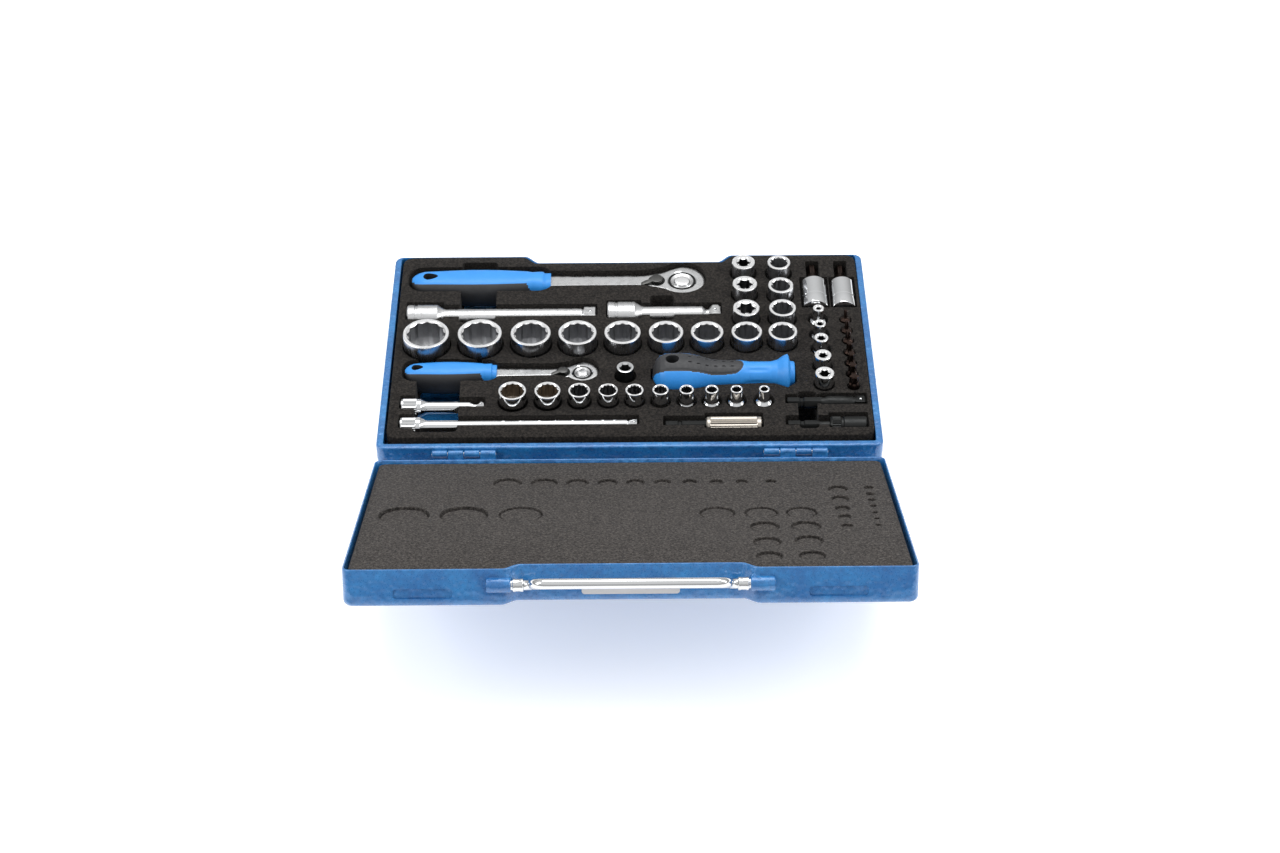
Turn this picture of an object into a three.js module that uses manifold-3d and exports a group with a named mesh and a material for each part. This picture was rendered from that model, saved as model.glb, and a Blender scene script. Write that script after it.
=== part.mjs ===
// Socket wrench set in a hinged sheet-steel case: 1/4" and 3/8" drive tools seated in a foam tray.
// Millimetres, +Z up. Origin: centre of the tray's underside. +X along the hinge, +Y away from the hinge.
// The lid stands open; every tool lies or stands in its own foam pocket.
import * as THREE from 'three';
import { mergeVertices } from 'three/addons/utils/BufferGeometryUtils.js';
import Module from 'manifold-3d';

const wasm = await Module();
wasm.setup();

// ---------- driving dimensions ----------
const CASE = { w: 316, d: 192, rim: 28.5, lidTop: 51, r: 5.5, sheet: 1.2, lip: 4.5, lipDepth: 4.5 };
const RECESS = { flat: 60, slope: 9.5, depth: 7 };         // set-back in the front wall for the handle
const SEAM = 0.3;                                          // gap between the closed rims
const HINGE = { y: -98.6, z: 26, open: 155.4, r: 2.2, bore: 1.3, pin: 1, x: 103, w: 40, knuckles: 4 };
const FOAM = { floor: 1.5, top: 29.6, left: 152, right: 153, near: 87.6, far: 94.4, r: 7 };
const LID_FOAM = { face: 30.3, back: 47.5, inset: 3.1 };
const HANDLE = { y: 96.5, z: 38, r: 2.9, arm: 26, half: 52, pivot: 58, end: 77, bend: 6, rest: -22 };
const BRACKET = { from: 65.5, to: 79, r: 4.2, bore: 3.3 };
const SLEEVE = { from: 58.5, to: 64.6, r: 3.7, bore: 3.3 };
const PROUD = 39.2;                                        // height of every standing socket's mouth
const GAP = 0.6;                                           // foam clearance round a tool
const CLEAR = 0.3;                                         // running clearance between close pieces
const PRESS = 0.5;                                         // lid foam clearance over a tool

const DRIVE38 = { square: 9.5, socket: 9.7, depth: 11, length: 28, mouth: 13 };
const DRIVE14 = { square: 6.3, socket: 6.5, depth: 8, length: 25, mouth: 11 };

// size across flats, outside diameter at the mouth, place on the tray
const ROW38 = { y: 2.5, sockets: [
  [22, 30, -131.5], [21, 28.8, -96.7], [19, 26.2, -63.7], [18, 25, -33.4], [17, 23.8, -4.2],
  [16, 22.6, 24], [15, 21.4, 50.6], [14, 20.1, 76.3], [13, 18.9, 99.7]] };
const COLUMN38 = { x: 100.7, sockets: [[12, 17.8, 26.4], [11, 16.8, 50], [10, 15.5, 74.3]] };
const ROW14 = { y: -54.2, sockets: [
  [13, 17.8, -73.9], [12, 16.7, -51.7], [10, 14.1, -31.7], [9, 12.6, -13.5], [8, 11.8, 3.2],
  [7, 10.6, 19.6], [6, 9.4, 36.1], [5.5, 8.7, 52], [5, 7.9, 67.6], [4, 7, 85.1]] };
// star sockets: name number, tip-to-tip size, outside diameter, place on the tray
const STAR38 = { x: 77, sockets: [[14, 12.9, 17.5, 26.6], [12, 11.1, 16.5, 51.8], [10, 9.4, 15.5, 74.9]] };
const STAR14 = { x: 124.2, sockets: [
  [4, 3.9, 7.4, 25.9], [5, 4.7, 8, 10.2], [6, 5.7, 9.4, -4.2], [7, 6.2, 11, -21.5], [8, 7.5, 12.2, -39.2]] };

// ---------- materials ----------
const finish = (color, roughness, metalness) =>
  () => new THREE.MeshStandardMaterial({ color, roughness, metalness });
const paint = finish(0x2f66b0, 0.35, 0.3);
const foamGrey = finish(0x2d2a28, 0.95, 0);
const lidGrey = finish(0x55504e, 0.95, 0);
const chrome = finish(0xd8dadc, 0.15, 1);
const satin = finish(0xc4c6c8, 0.35, 1);
const gripBlue = finish(0x50aaeb, 0.5, 0);
const black = finish(0x1c1b1b, 0.45, 0.4);

// ---------- solids ----------
function signedVolume(vertices, index) {
  const at = (i) => new THREE.Vector3().fromArray(vertices, 3 * i);
  let sum = 0;
  for (let i = 0; i < index.length; i += 3) {
    sum += at(index[i]).dot(at(index[i + 1]).cross(at(index[i + 2]))) / 6;
  }
  return sum;
}

// A closed geometry of any winding as a solid.
function solid(geometry) {
  geometry.deleteAttribute('normal');
  geometry.deleteAttribute('uv');
  const merged = mergeVertices(geometry, 1e-4);
  const vertProperties = new Float32Array(merged.attributes.position.array);
  const triVerts = Uint32Array.from(merged.index.array);
  if (signedVolume(vertProperties, triVerts) < 0) {
    for (let i = 0; i < triVerts.length; i += 3) {
      [triVerts[i], triVerts[i + 1]] = [triVerts[i + 1], triVerts[i]];
    }
  }
  return new wasm.Manifold(new wasm.Mesh({ numProp: 3, vertProperties, triVerts }));
}

const join = (first, ...rest) => rest.reduce((all, next) => all.add(next), first);
const cut = (first, ...rest) => rest.reduce((left, next) => left.subtract(next), first);

function geometryOf(manifold) {
  const mesh = manifold.getMesh();
  const geometry = new THREE.BufferGeometry();
  geometry.setAttribute('position', new THREE.Float32BufferAttribute(mesh.vertProperties, 3));
  geometry.setIndex(Array.from(mesh.triVerts));
  geometry.computeVertexNormals();
  return geometry;
}

function piece(name, manifold, material) {
  const mesh = new THREE.Mesh(geometryOf(manifold), material());
  mesh.name = name;
  return mesh;
}

function box(x0, x1, y0, y1, z0, z1) {
  const geometry = new THREE.BoxGeometry(x1 - x0, y1 - y0, z1 - z0);
  return solid(geometry.translate((x0 + x1) / 2, (y0 + y1) / 2, (z0 + z1) / 2));
}

// An outline in XY carried from z0 to z1.
function prism(shape, z0, z1, curveSegments = 6) {
  const geometry = new THREE.ExtrudeGeometry(shape, { depth: z1 - z0, bevelEnabled: false, curveSegments });
  return solid(geometry.translate(0, 0, z0));
}

const polygon = (points) => new THREE.Shape(points.map(([x, y]) => new THREE.Vector2(x, y)));

function ring(count, radius, x = 0, y = 0, turn = 0) {
  return Array.from({ length: count }, (_, i) => {
    const angle = turn + (i / count) * 2 * Math.PI;
    return [x + radius * Math.cos(angle), y + radius * Math.sin(angle)];
  });
}

const disc = (radius, z0, z1, sides = 16, x = 0, y = 0) => prism(polygon(ring(sides, radius, x, y)), z0, z1);

// A star of `tips` points: the bore of a twelve-point or star socket.
function star(tips, outer, inner) {
  const points = Array.from({ length: 2 * tips }, (_, i) => {
    const radius = i % 2 ? inner : outer;
    const angle = (i / (2 * tips)) * 2 * Math.PI;
    return [radius * Math.cos(angle), radius * Math.sin(angle)];
  });
  return polygon(points);
}

function roundedRect(x0, x1, y0, y1, r) {
  const shape = new THREE.Shape();
  shape.absarc(x1 - r, y1 - r, r, 0, Math.PI / 2);
  shape.absarc(x0 + r, y1 - r, r, Math.PI / 2, Math.PI);
  shape.absarc(x0 + r, y0 + r, r, Math.PI, 1.5 * Math.PI);
  shape.absarc(x1 - r, y0 + r, r, 1.5 * Math.PI, 2 * Math.PI);
  shape.closePath();
  return shape;
}

// A profile of [radius, height] turned about +Z; it starts and ends on the axis.
function turned(profile, sides = 16) {
  const geometry = new THREE.LatheGeometry(profile.map(([r, h]) => new THREE.Vector2(r, h)), sides);
  return solid(geometry.rotateX(Math.PI / 2));
}

const alongX = (manifold) => manifold.rotate([0, 90, 0]);
const alongY = (manifold) => manifold.rotate([-90, 0, 0]);
const square = (side, z0, z1) => box(-side / 2, side / 2, -side / 2, side / 2, z0, z1);

// ---------- case ----------
// The case's plan outline, set in from each outer face, with the front wall's set-back.
function caseRing(inset, { near = inset, side = inset, far = inset } = {}) {
  const [x, y0, y1] = [CASE.w / 2 - side, -CASE.d / 2 + near, CASE.d / 2 - far];
  const r = Math.max(CASE.r - inset, 1.5);
  const steps = 3;
  const corner = (cx, cy, from) => Array.from({ length: steps + 1 }, (_, i) => {
    const angle = from + (i / steps) * Math.PI / 2;
    return [cx + r * Math.cos(angle), cy + r * Math.sin(angle)];
  });
  const [inner, outer] = [RECESS.flat + far, RECESS.flat + RECESS.slope + far];
  const set = y1 - RECESS.depth;
  const half = (inner + outer) / 2;
  return [
    ...corner(x - r, y1 - r, 0),
    [outer, y1], [half, y1 - RECESS.depth / 2], [inner, set],
    [-inner, set], [-half, y1 - RECESS.depth / 2], [-outer, y1],
    ...corner(-x + r, y1 - r, Math.PI / 2),
    ...corner(-x + r, y0 + r, Math.PI),
    ...corner(x - r, y0 + r, 1.5 * Math.PI),
  ];
}

// Rings of equal count, each [points, z], joined in order and closed by a cap at either end.
function loft(rings) {
  const count = rings[0][0].length;
  const positions = rings.flatMap(([points, z]) => points.flatMap(([x, y]) => [x, y, z]));
  const index = [];
  for (let level = 0; level < rings.length - 1; level += 1) {
    for (let i = 0; i < count; i += 1) {
      const [a, b] = [level * count + i, level * count + ((i + 1) % count)];
      index.push(a, b, a + count, b, b + count, a + count);
    }
  }
  const cap = (level, flip) => {
    const outline = rings[level][0].map(([x, y]) => new THREE.Vector2(x, y));
    for (const [a, b, c] of THREE.ShapeUtils.triangulateShape(outline, [])) {
      const base = level * count;
      index.push(base + a, base + (flip ? c : b), base + (flip ? b : c));
    }
  };
  cap(0, true);
  cap(rings.length - 1, false);
  const geometry = new THREE.BufferGeometry();
  geometry.setAttribute('position', new THREE.Float32BufferAttribute(positions, 3));
  geometry.setIndex(index);
  return solid(geometry);
}

// Knuckles and leaf of one hinge half. `first` is 0 for the tray's half and 1 for the lid's, and `up` points
// the leaf. The webs beside the tray's rim stand clear of its wall.
function hingeHalf(centre, first, up) {
  const step = HINGE.w / HINGE.knuckles;
  const wall = -CASE.d / 2 + 0.4;
  const [leafTop, leafStart] = [up * 13, up * 3];
  const leaf = (x0, x1, from, to, back = wall) =>
    box(x0, x1, wall - 1.3, back, HINGE.z + Math.min(from, to), HINGE.z + Math.max(from, to));
  let half = leaf(centre - HINGE.w / 2, centre + HINGE.w / 2, leafStart, leafTop);
  for (let i = first; i < HINGE.knuckles; i += 2) {
    const x0 = centre - HINGE.w / 2 + i * step + 0.2;
    const x1 = x0 + step - 0.4;
    const barrel = alongX(disc(HINGE.r, x0, x1, 12)).translate([0, HINGE.y, HINGE.z]);
    half = join(half, barrel, leaf(x0, x1, up * 0.2, leafStart + up * 0.5, wall - 0.7));
  }
  const bore = alongX(disc(HINGE.bore, centre - HINGE.w, centre + HINGE.w, 10));
  return cut(half, bore.translate([0, HINGE.y, HINGE.z]));
}

// The tray's pan: a floor with rounded edges, walls, and a lip turned in along the hinge side and the ends.
function trayPan() {
  const { sheet, rim, lip, lipDepth } = CASE;
  const lipRing = caseRing(lip, { near: lip, side: lip, far: sheet });
  return loft([
    [caseRing(3), 0], [caseRing(0.9), 0.9], [caseRing(0), 3],
    [caseRing(0), rim], [lipRing, rim], [lipRing, rim - lipDepth],
    [caseRing(sheet), rim - lipDepth], [caseRing(sheet), sheet],
  ]);
}

function baseShell() {
  const hinges = [-1, 1].map((side) => hingeHalf(side * HINGE.x, 0, -1));
  return piece('base_shell', join(trayPan(), ...hinges), paint);
}

function lidPan() {
  const { sheet, rim, lidTop } = CASE;
  return loft([
    [caseRing(sheet + 0.4), rim + SEAM], [caseRing(0), rim + SEAM], [caseRing(0), lidTop - 3.5],
    [caseRing(1.1), lidTop - 1.1], [caseRing(3.5), lidTop],
  ]);
}

function lidHollow() {
  const { sheet, rim, lidTop } = CASE;
  return loft([
    [caseRing(sheet), rim], [caseRing(sheet), lidTop - 3.6], [caseRing(3.6), lidTop - sheet],
  ]);
}

// A rolled bracket on the front wall that holds one end of the handle.
function handleBracket(side) {
  const wall = CASE.d / 2 - 0.6;
  const [x0, x1] = [side * BRACKET.from, side * BRACKET.to].sort((a, b) => a - b);
  const roll = alongX(disc(BRACKET.r, x0, x1, 12)).translate([0, HANDLE.y, HANDLE.z]);
  const foot = box(x0, x1, wall - RECESS.depth, HANDLE.y, HANDLE.z - BRACKET.r, HANDLE.z + BRACKET.r);
  return join(roll, foot);
}

function lidShell() {
  const hinges = [-1, 1].map((side) => hingeHalf(side * HINGE.x, 1, 1));
  const outer = join(lidPan(), ...[-1, 1].map(handleBracket));
  const reach = BRACKET.to - 0.5;
  const bore = alongX(disc(BRACKET.bore, -reach, reach, 12)).translate([0, HANDLE.y, HANDLE.z]);
  const opened = cut(outer, lidHollow(), bore);
  return piece('lid_shell', join(opened, ...hinges), paint);
}

function hingePin(side) {
  const half = HINGE.w / 2;
  const pin = alongX(disc(HINGE.pin, side * HINGE.x - half, side * HINGE.x + half, 10));
  return piece(side < 0 ? 'hinge_pin_left' : 'hinge_pin_right', pin.translate([0, HINGE.y, HINGE.z]), satin);
}

// The handle: one bent rod, its two ends turned out into the brackets.
function carryHandle() {
  const { r, arm, half, pivot, end, bend } = HANDLE;
  const corner = [end, 0, pivot, 0, half, 0, half, 8, half, arm - bend, half, arm, half - bend, arm];
  const side = (s) => Array.from({ length: corner.length / 2 }, (_, i) =>
    new THREE.Vector3(s * corner[2 * i], corner[2 * i + 1], 0));
  const points = side(-1).concat(side(1).reverse());
  const path = new THREE.CurvePath();
  const line = (a, b) => path.add(new THREE.LineCurve3(a, b));
  const bendCurve = (a, b, c) => path.add(new THREE.QuadraticBezierCurve3(a, b, c));
  const p = points;
  line(p[0], p[1]);
  bendCurve(p[1], p[2], p[3]);
  line(p[3], p[4]);
  bendCurve(p[4], p[5], p[6]);
  line(p[6], p[7]);
  bendCurve(p[7], p[8], p[9]);
  line(p[9], p[10]);
  bendCurve(p[10], p[11], p[12]);
  line(p[12], p[13]);
  const rod = new THREE.ExtrudeGeometry(polygon(ring(6, r)), {
    steps: 38, bevelEnabled: false, extrudePath: path,
  });
  const mesh = piece('carry_handle', solid(rod), chrome);
  mesh.position.set(0, HANDLE.y, HANDLE.z);
  mesh.rotation.x = THREE.MathUtils.degToRad(HANDLE.rest);
  return mesh;
}

function handleSleeve(side) {
  const [x0, x1] = [side * SLEEVE.from, side * SLEEVE.to].sort((a, b) => a - b);
  const sleeve = cut(disc(SLEEVE.r, x0, x1, 12), disc(SLEEVE.bore, x0 - 1, x1 + 1, 12));
  const name = side < 0 ? 'handle_sleeve_left' : 'handle_sleeve_right';
  return piece(name, alongX(sleeve).translate([0, HANDLE.y, HANDLE.z]), chrome);
}

// ---------- sockets ----------
const stars = {
  twelve: (size) => star(12, 0.57 * size, 0.5176 * size),
  six: (size) => star(6, 0.5 * size, 0.4 * size),
};

// A socket standing on its drive end: drive square below, nut opening above.
function socket(name, kind, size, mouthD, drive) {
  const { length, mouth, depth } = drive;
  const rTop = mouthD / 2;
  const rDrive = drive === DRIVE38 ? Math.max(8.4, 0.42 * mouthD) : Math.max(6, 0.4 * mouthD);
  const shoulder = length - mouth + (drive === DRIVE38 ? -1.5 : 1.5);
  const body = turned([
    [0, 0], [rDrive, 0], [rDrive, shoulder - 2], [rTop, shoulder + Math.abs(rTop - rDrive) * 0.6],
    [rTop, length], [0, length],
  ], 12);
  const neck = Math.min(0.38 * size, 0.3 * drive.socket);
  return piece(name, cut(
    body,
    prism(stars[kind](size), length - mouth, length + 1),
    disc(neck, depth - 1, length - mouth + 1, 6),
    square(drive.socket, -1, depth),
  ), chrome);
}

const sizeName = (size) => String(size).replace('.', '_');

// ---------- extension bars, adaptors and bit tools, all turned about their own length ----------
// Drawn along +Z, open end first; `lay` puts the length along +X.
function lay(name, manifold, material, x, y, z) {
  const mesh = piece(name, alongX(manifold), material);
  mesh.position.set(x, y, z);
  return mesh;
}

function extension({ name, length, drive, hub, hubLength, shaft, x, y, z }) {
  const tip = 0.88 * drive.square;
  const end = length - tip;
  const bar = turned([
    [0, 0], [hub - 0.6, 0], [hub, 0.6], [hub, hubLength], [shaft, hubLength + (hub - shaft) * 1.4],
    [shaft, end - 0.6], [shaft - 0.6, end], [0, end],
  ], 12);
  const body = join(bar, square(drive.square, end - 1, length));
  return lay(name, cut(body, square(drive.socket, -1, drive.depth)), chrome, x, y, z);
}

const hexRod = (flats, z0, z1) => disc(flats / Math.sqrt(3), z0, z1, 6);

// A bit holder: hexagon shank, round sleeve and hexagon mouth.
function bitHolder({ name, length, shank, sleeve, x, y, z, material }) {
  const body = join(
    hexRod(6.35, 0, shank + 1),
    turned([[0, shank], [sleeve - 0.8, shank], [sleeve, shank + 0.8], [sleeve, length - 0.6],
      [sleeve - 0.6, length], [0, length]], 12),
  );
  return lay(name, cut(body, hexRod(6.5, length - 10, length + 1)), material, x, y, z);
}

function squareAdaptor({ name, length, shank, x, y, z }) {
  const body = join(
    hexRod(6.35, 0, shank + 1),
    turned([[0, shank], [3.4, shank], [4.4, shank + 3], [4.4, length - 8], [3.2, length - 6.5],
      [0, length - 6.5]], 12),
    square(DRIVE14.square, length - 8, length),
  );
  return lay(name, body, black, x, y, z);
}

// A driver socket with a fixed screw bit: the drive square faces -Y, the bit points along +Y.
function bitSocket(name, radius, x) {
  const [holder, bit, length] = [radius, 3.4, 47];
  const body = join(
    turned([[0, 0], [holder - 0.8, 0], [holder, 0.8], [holder, 27], [holder - 3, 30], [0, 30]], 12),
    disc(bit, 29, length, 8),
  );
  const mesh = piece(name, alongY(cut(body, square(DRIVE38.socket, -1, DRIVE38.depth))), chrome);
  mesh.position.set(x, 39, 25);
  return mesh;
}

function adaptor() {
  const body = turned([
    [0, 0], [5.4, 0], [6, 0.6], [6, 9], [5.5, 10], [5.5, 22], [0, 22],
  ], 12);
  const bored = cut(body, hexRod(6.5, 12, 23), square(DRIVE14.socket, -1, DRIVE14.depth));
  return piece('adaptor_14', bored, black);
}

// ---------- reversible ratchets ----------
const RATCHET38 = {
  suffix: '38', x: 35.8, y: 70.8, z: 15, thick: 12, head: 15.6, neck: [-30, 6.2], shank: [-94, 6.8],
  grip: [-182, -88, 11.5], gripZ: [-4.5, 17.5], gear: 9, drive: DRIVE38, squareLength: 10.5,
  lever: [-17, 0, 4.2, 12], hole: [-166, 3.4],
};
const RATCHET14 = {
  suffix: '14', x: -30.2, y: -22.8, z: 17.5, thick: 9.5, head: 10.6, neck: [-19, 4.2], shank: [-60, 5],
  grip: [-114.5, -55, 9], gripZ: [-4.5, 15], gear: 6, drive: DRIVE14, squareLength: 7.5,
  lever: [-12.4, 0, 3.2, 8.6], hole: [-105, 2.6],
};
const LEVER = { rest: 209.6, lift: 0.3, thick: 1.9 };
const BUTTON = { share: 0.56, travel: 1.5, thick: 3.2 };

function ratchetBody(r) {
  const [neckX, neckHalf] = r.neck;
  const [shankX, shankHalf] = r.shank;
  const reach = Math.acos((r.head - neckHalf) / -neckX);
  const outline = [];
  const steps = 14;
  for (let i = 0; i <= steps; i += 1) {
    const angle = -reach - 0.35 + (i / steps) * 2 * (reach + 0.35);
    outline.push([r.head * Math.cos(angle), r.head * Math.sin(angle)]);
  }
  outline.push([neckX, neckHalf], [shankX, shankHalf], [shankX - 20, shankHalf], [shankX - 20, -shankHalf],
    [shankX, -shankHalf], [neckX, -neckHalf]);
  const bore = disc(r.gear + CLEAR, -1, r.thick + 1, 16);
  return cut(prism(polygon(outline), 0, r.thick), bore);
}

// The two-part grip as one closed body with a pocket for the shank and a hanging hole.
function ratchetGrip(r) {
  const [x0, x1, half] = r.grip;
  const [z0, z1] = r.gripZ;
  const rings = [[2.5, z0], [0, z0 + 5], [0.8, z1 - 2], [3, z1]].map(([inset, z]) => {
    const [left, right, side] = [x0 + inset, x1 - inset * 0.4, half - inset];
    const outline = roundedRect(left, right, -side, side, side - 0.5);
    return [outline.extractPoints(4).shape.slice(0, -1).map((v) => [v.x, v.y]), z];
  });
  const [shankX, shankHalf] = r.shank;
  const wide = shankHalf + CLEAR;
  const pocket = box(shankX - 20 - CLEAR, x1 + 1, -wide, wide, -CLEAR, r.thick + CLEAR);
  const hole = disc(r.hole[1], z0 - 1, z1 + 1, 12, r.hole[0], 0);
  return cut(loft(rings), pocket, hole);
}

// The gear that the head carries: drive square below, push button's well above.
function ratchetDrive(r) {
  const top = r.thick - 0.4;
  const well = r.gear * BUTTON.share + CLEAR;
  return cut(
    join(disc(r.gear, 0, top, 16), square(r.drive.square, -r.squareLength, 1)),
    disc(well, top - BUTTON.thick - BUTTON.travel, top + 1, 12),
  );
}

function ratchetButton(r) {
  const top = r.thick - 0.4;
  const radius = r.gear * BUTTON.share;
  const [z0, z1] = [top - BUTTON.thick + 0.2, top + 0.6];
  return turned([[0, z0], [radius, z0], [radius, z1 - 0.8], [radius - 1.2, z1], [0, z1]], 12);
}

function ratchetLever(r) {
  const [, , radius, reach] = r.lever;
  const z0 = r.thick + LEVER.lift;
  const tab = box(0, reach, -0.45 * radius, 0.45 * radius, z0, z0 + LEVER.thick);
  return join(disc(radius, z0, z0 + LEVER.thick, 14), tab);
}

function ratchet(r) {
  const group = new THREE.Group();
  group.position.set(r.x, r.y, r.z);
  const lever = piece(`ratchet_lever_${r.suffix}`, ratchetLever(r), black);
  lever.position.set(r.lever[0], r.lever[1], 0);
  lever.rotation.z = THREE.MathUtils.degToRad(LEVER.rest);
  group.add(
    piece(`ratchet_body_${r.suffix}`, ratchetBody(r), satin),
    piece(`ratchet_grip_${r.suffix}`, ratchetGrip(r), gripBlue),
    piece(`ratchet_drive_${r.suffix}`, ratchetDrive(r), chrome),
    piece(`ratchet_button_${r.suffix}`, ratchetButton(r), chrome),
    lever,
  );
  return group;
}

// ---------- driver handle ----------
const DRIVER = { x: 14.8, y: -28.4, z: 29, length: 91, bulb: 13.8, hole: 12.7 };

function driverHandle() {
  const { length, bulb } = DRIVER;
  const body = alongX(turned([
    [0, 0], [0.6 * bulb, 1.2], [0.9 * bulb, 5], [bulb, 12], [bulb, 22], [0.9 * bulb, 30], [0.68 * bulb, 38],
    [0.66 * bulb, 56], [0.58 * bulb, 62], [0.6 * bulb, 76], [0.9 * bulb, 84], [0.92 * bulb, 86.5],
    [0.75 * bulb, 88], [0.72 * bulb, length], [0, length],
  ], 12));
  const hanging = disc(3.9, -20, 20, 12, DRIVER.hole, 0);
  const mouth = alongX(square(DRIVE14.socket, length - 12, length + 1));
  const mesh = piece('driver_handle', cut(body, hanging, mouth), gripBlue);
  mesh.position.set(DRIVER.x, DRIVER.y, DRIVER.z);
  return mesh;
}

// ---------- the set: every tool, its pocket in the tray foam and its print in the lid foam ----------
const EXTENSIONS = [
  { name: 'extension_125_38', length: 125, drive: DRIVE38, hub: 8.5, hubLength: 20, shaft: 5.6,
    x: -146.5, y: 37.4, z: 23.5 },
  { name: 'extension_75_38', length: 75, drive: DRIVE38, hub: 8.8, hubLength: 18, shaft: 5.6,
    x: -14.2, y: 37.9, z: 24.2 },
  { name: 'extension_55_14', length: 53, drive: DRIVE14, hub: 6, hubLength: 13, shaft: 3.9,
    x: -145, y: -53.7, z: 24.5 },
  { name: 'extension_150_14', length: 150, drive: DRIVE14, hub: 6, hubLength: 13, shaft: 3.9,
    x: -144.6, y: -71.6, z: 24.5 },
];
const BIT_TOOLS = [
  { name: 'bit_holder_long', make: bitHolder, length: 61, shank: 26, sleeve: 6, x: 22, y: -73, z: 24.5,
    material: satin },
  { name: 'bit_holder_short', make: bitHolder, length: 50, shank: 27, sleeve: 6, x: 99, y: -73.4, z: 24.5,
    material: black },
  { name: 'square_adaptor_14', make: squareAdaptor, length: 50, shank: 22, x: 99.7, y: -53.2, z: 26 },
];
const BIT_SOCKETS = [['bit_socket_large', 9.3, 123.8], ['bit_socket_small', 8.6, 142.6]];
const ADAPTOR = { x: -2.6, y: -29.8, z: 15 };

const tools = [];
const pockets = [];
const prints = [];

function stand(mesh, radius, x, y, z) {
  mesh.position.set(x, y, z);
  tools.push(mesh);
  pockets.push(disc((radius + CLEAR) / Math.cos(Math.PI / 10), z - CLEAR, 40, 10, x, y));
  prints.push(disc((radius + CLEAR) / Math.cos(Math.PI / 8), 0, PROUD + PRESS, 8, x, y));
}

function standSocket(prefix, kind, [size, mouthD], drive, x, y) {
  const suffix = drive === DRIVE38 ? '38' : '14';
  const mesh = socket(`${prefix}_${sizeName(size)}mm_${suffix}`, kind, size, mouthD, drive);
  const foot = drive === DRIVE38 ? 8.4 : 6;
  stand(mesh, Math.max(mouthD / 2, foot), x, y, PROUD - drive.length);
}

for (const [size, od, x] of ROW38.sockets) standSocket('socket', 'twelve', [size, od], DRIVE38, x, ROW38.y);
for (const [size, od, y] of COLUMN38.sockets) {
  standSocket('socket', 'twelve', [size, od], DRIVE38, COLUMN38.x, y);
}
for (const [size, od, x] of ROW14.sockets) standSocket('socket', 'twelve', [size, od], DRIVE14, x, ROW14.y);

function standStar(number, tips, od, drive, x, y) {
  const suffix = drive === DRIVE38 ? '38' : '14';
  const mesh = socket(`star_socket_e${number}_${suffix}`, 'six', tips, od, drive);
  stand(mesh, Math.max(od / 2, drive === DRIVE38 ? 8.4 : 6), x, y, PROUD - drive.length);
}

for (const [number, tips, od, y] of STAR38.sockets) standStar(number, tips, od, DRIVE38, STAR38.x, y);
for (const [number, tips, od, y] of STAR14.sockets) standStar(number, tips, od, DRIVE14, STAR14.x, y);
stand(adaptor(), 6, ADAPTOR.x, ADAPTOR.y, ADAPTOR.z);

for (const bar of EXTENSIONS) {
  tools.push(extension(bar));
  const [x0, x1] = [bar.x - 1, bar.x + bar.length + 1];
  const half = bar.hub + GAP;
  const neck = bar.x + bar.hubLength + 4;
  pockets.push(
    box(x0, neck, bar.y - half, bar.y + half, bar.z - bar.hub - CLEAR, 40),
    box(neck - 1, x1, bar.y - bar.shaft - 1.2, bar.y + bar.shaft + 1.2, bar.z - bar.shaft - 1.5, 40),
  );
  prints.push(box(x0, neck, bar.y - half, bar.y + half, 0, bar.z + bar.hub + PRESS));
}

for (const tool of BIT_TOOLS) {
  tools.push(tool.make(tool));
  const wide = (tool.sleeve ?? 4.6) + GAP;
  const [x0, x1, x2] = [tool.x - 1, tool.x + tool.shank - 1, tool.x + tool.length + 1];
  pockets.push(
    box(x0, x1 + 1, tool.y - 4.2, tool.y + 4.2, tool.z - 4.2, 40),
    box(x1, x2, tool.y - wide, tool.y + wide, tool.z - wide, 40),
  );
  prints.push(box(x1, x2, tool.y - wide, tool.y + wide, 0, tool.z + wide + PRESS));
}

for (const [name, radius, x] of BIT_SOCKETS) {
  tools.push(bitSocket(name, radius, x));
  const half = radius + 0.05;
  pockets.push(
    box(x - half, x + half, 38, 70, 25 - radius - CLEAR, 40),
    box(x - 4.5, x + 4.5, 69, 87, 20.5, 40),
  );
  prints.push(box(x - half - 0.4, x + half + 0.4, 37, 71, 0, 25 + radius + PRESS));
}

tools.push(driverHandle());
const driverBox = (z0, z1) => {
  const { x, y, length, bulb } = DRIVER;
  return prism(roundedRect(x - 1, x + length + 1, y - bulb - GAP, y + bulb + GAP, 7), z0, z1, 4);
};
pockets.push(driverBox(DRIVER.z - DRIVER.bulb - CLEAR, 50));
prints.push(driverBox(0, DRIVER.z + DRIVER.bulb + PRESS));

for (const r of [RATCHET38, RATCHET14]) {
  tools.push(ratchet(r));
  const [x0, x1, half] = r.grip;
  const [neckX, neckHalf] = r.neck;
  const wide = r.shank[1] + 1.6;
  const headPocket = disc((r.head + CLEAR) / Math.cos(Math.PI / 16), r.z - CLEAR, 40, 16, r.x, r.y);
  const shankPocket = box(r.x + x1 - 2, r.x, r.y - wide, r.y + wide, r.z - CLEAR, 40);
  const taper = prism(polygon([
    [r.x + neckX, r.y - neckHalf - 2], [r.x, r.y - r.head - 0.3],
    [r.x, r.y + r.head + 0.3], [r.x + neckX, r.y + neckHalf + 2]]), r.z - CLEAR, 40);
  const gripShape = roundedRect(r.x + x0 - 1.5, r.x + x1 + 1.5, r.y - half - 2.2, r.y + half + 1.2, half - 1);
  const gripPocket = prism(gripShape, r.z + r.gripZ[0] - CLEAR, 40, 4);
  const squareWell = disc(r.gear + 1, r.z - r.squareLength - CLEAR, r.z, 10, r.x, r.y);
  pockets.push(headPocket, shankPocket, taper, gripPocket, squareWell);
  prints.push(prism(gripShape, 0, r.z + r.gripZ[1] + PRESS, 3));
}

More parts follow.
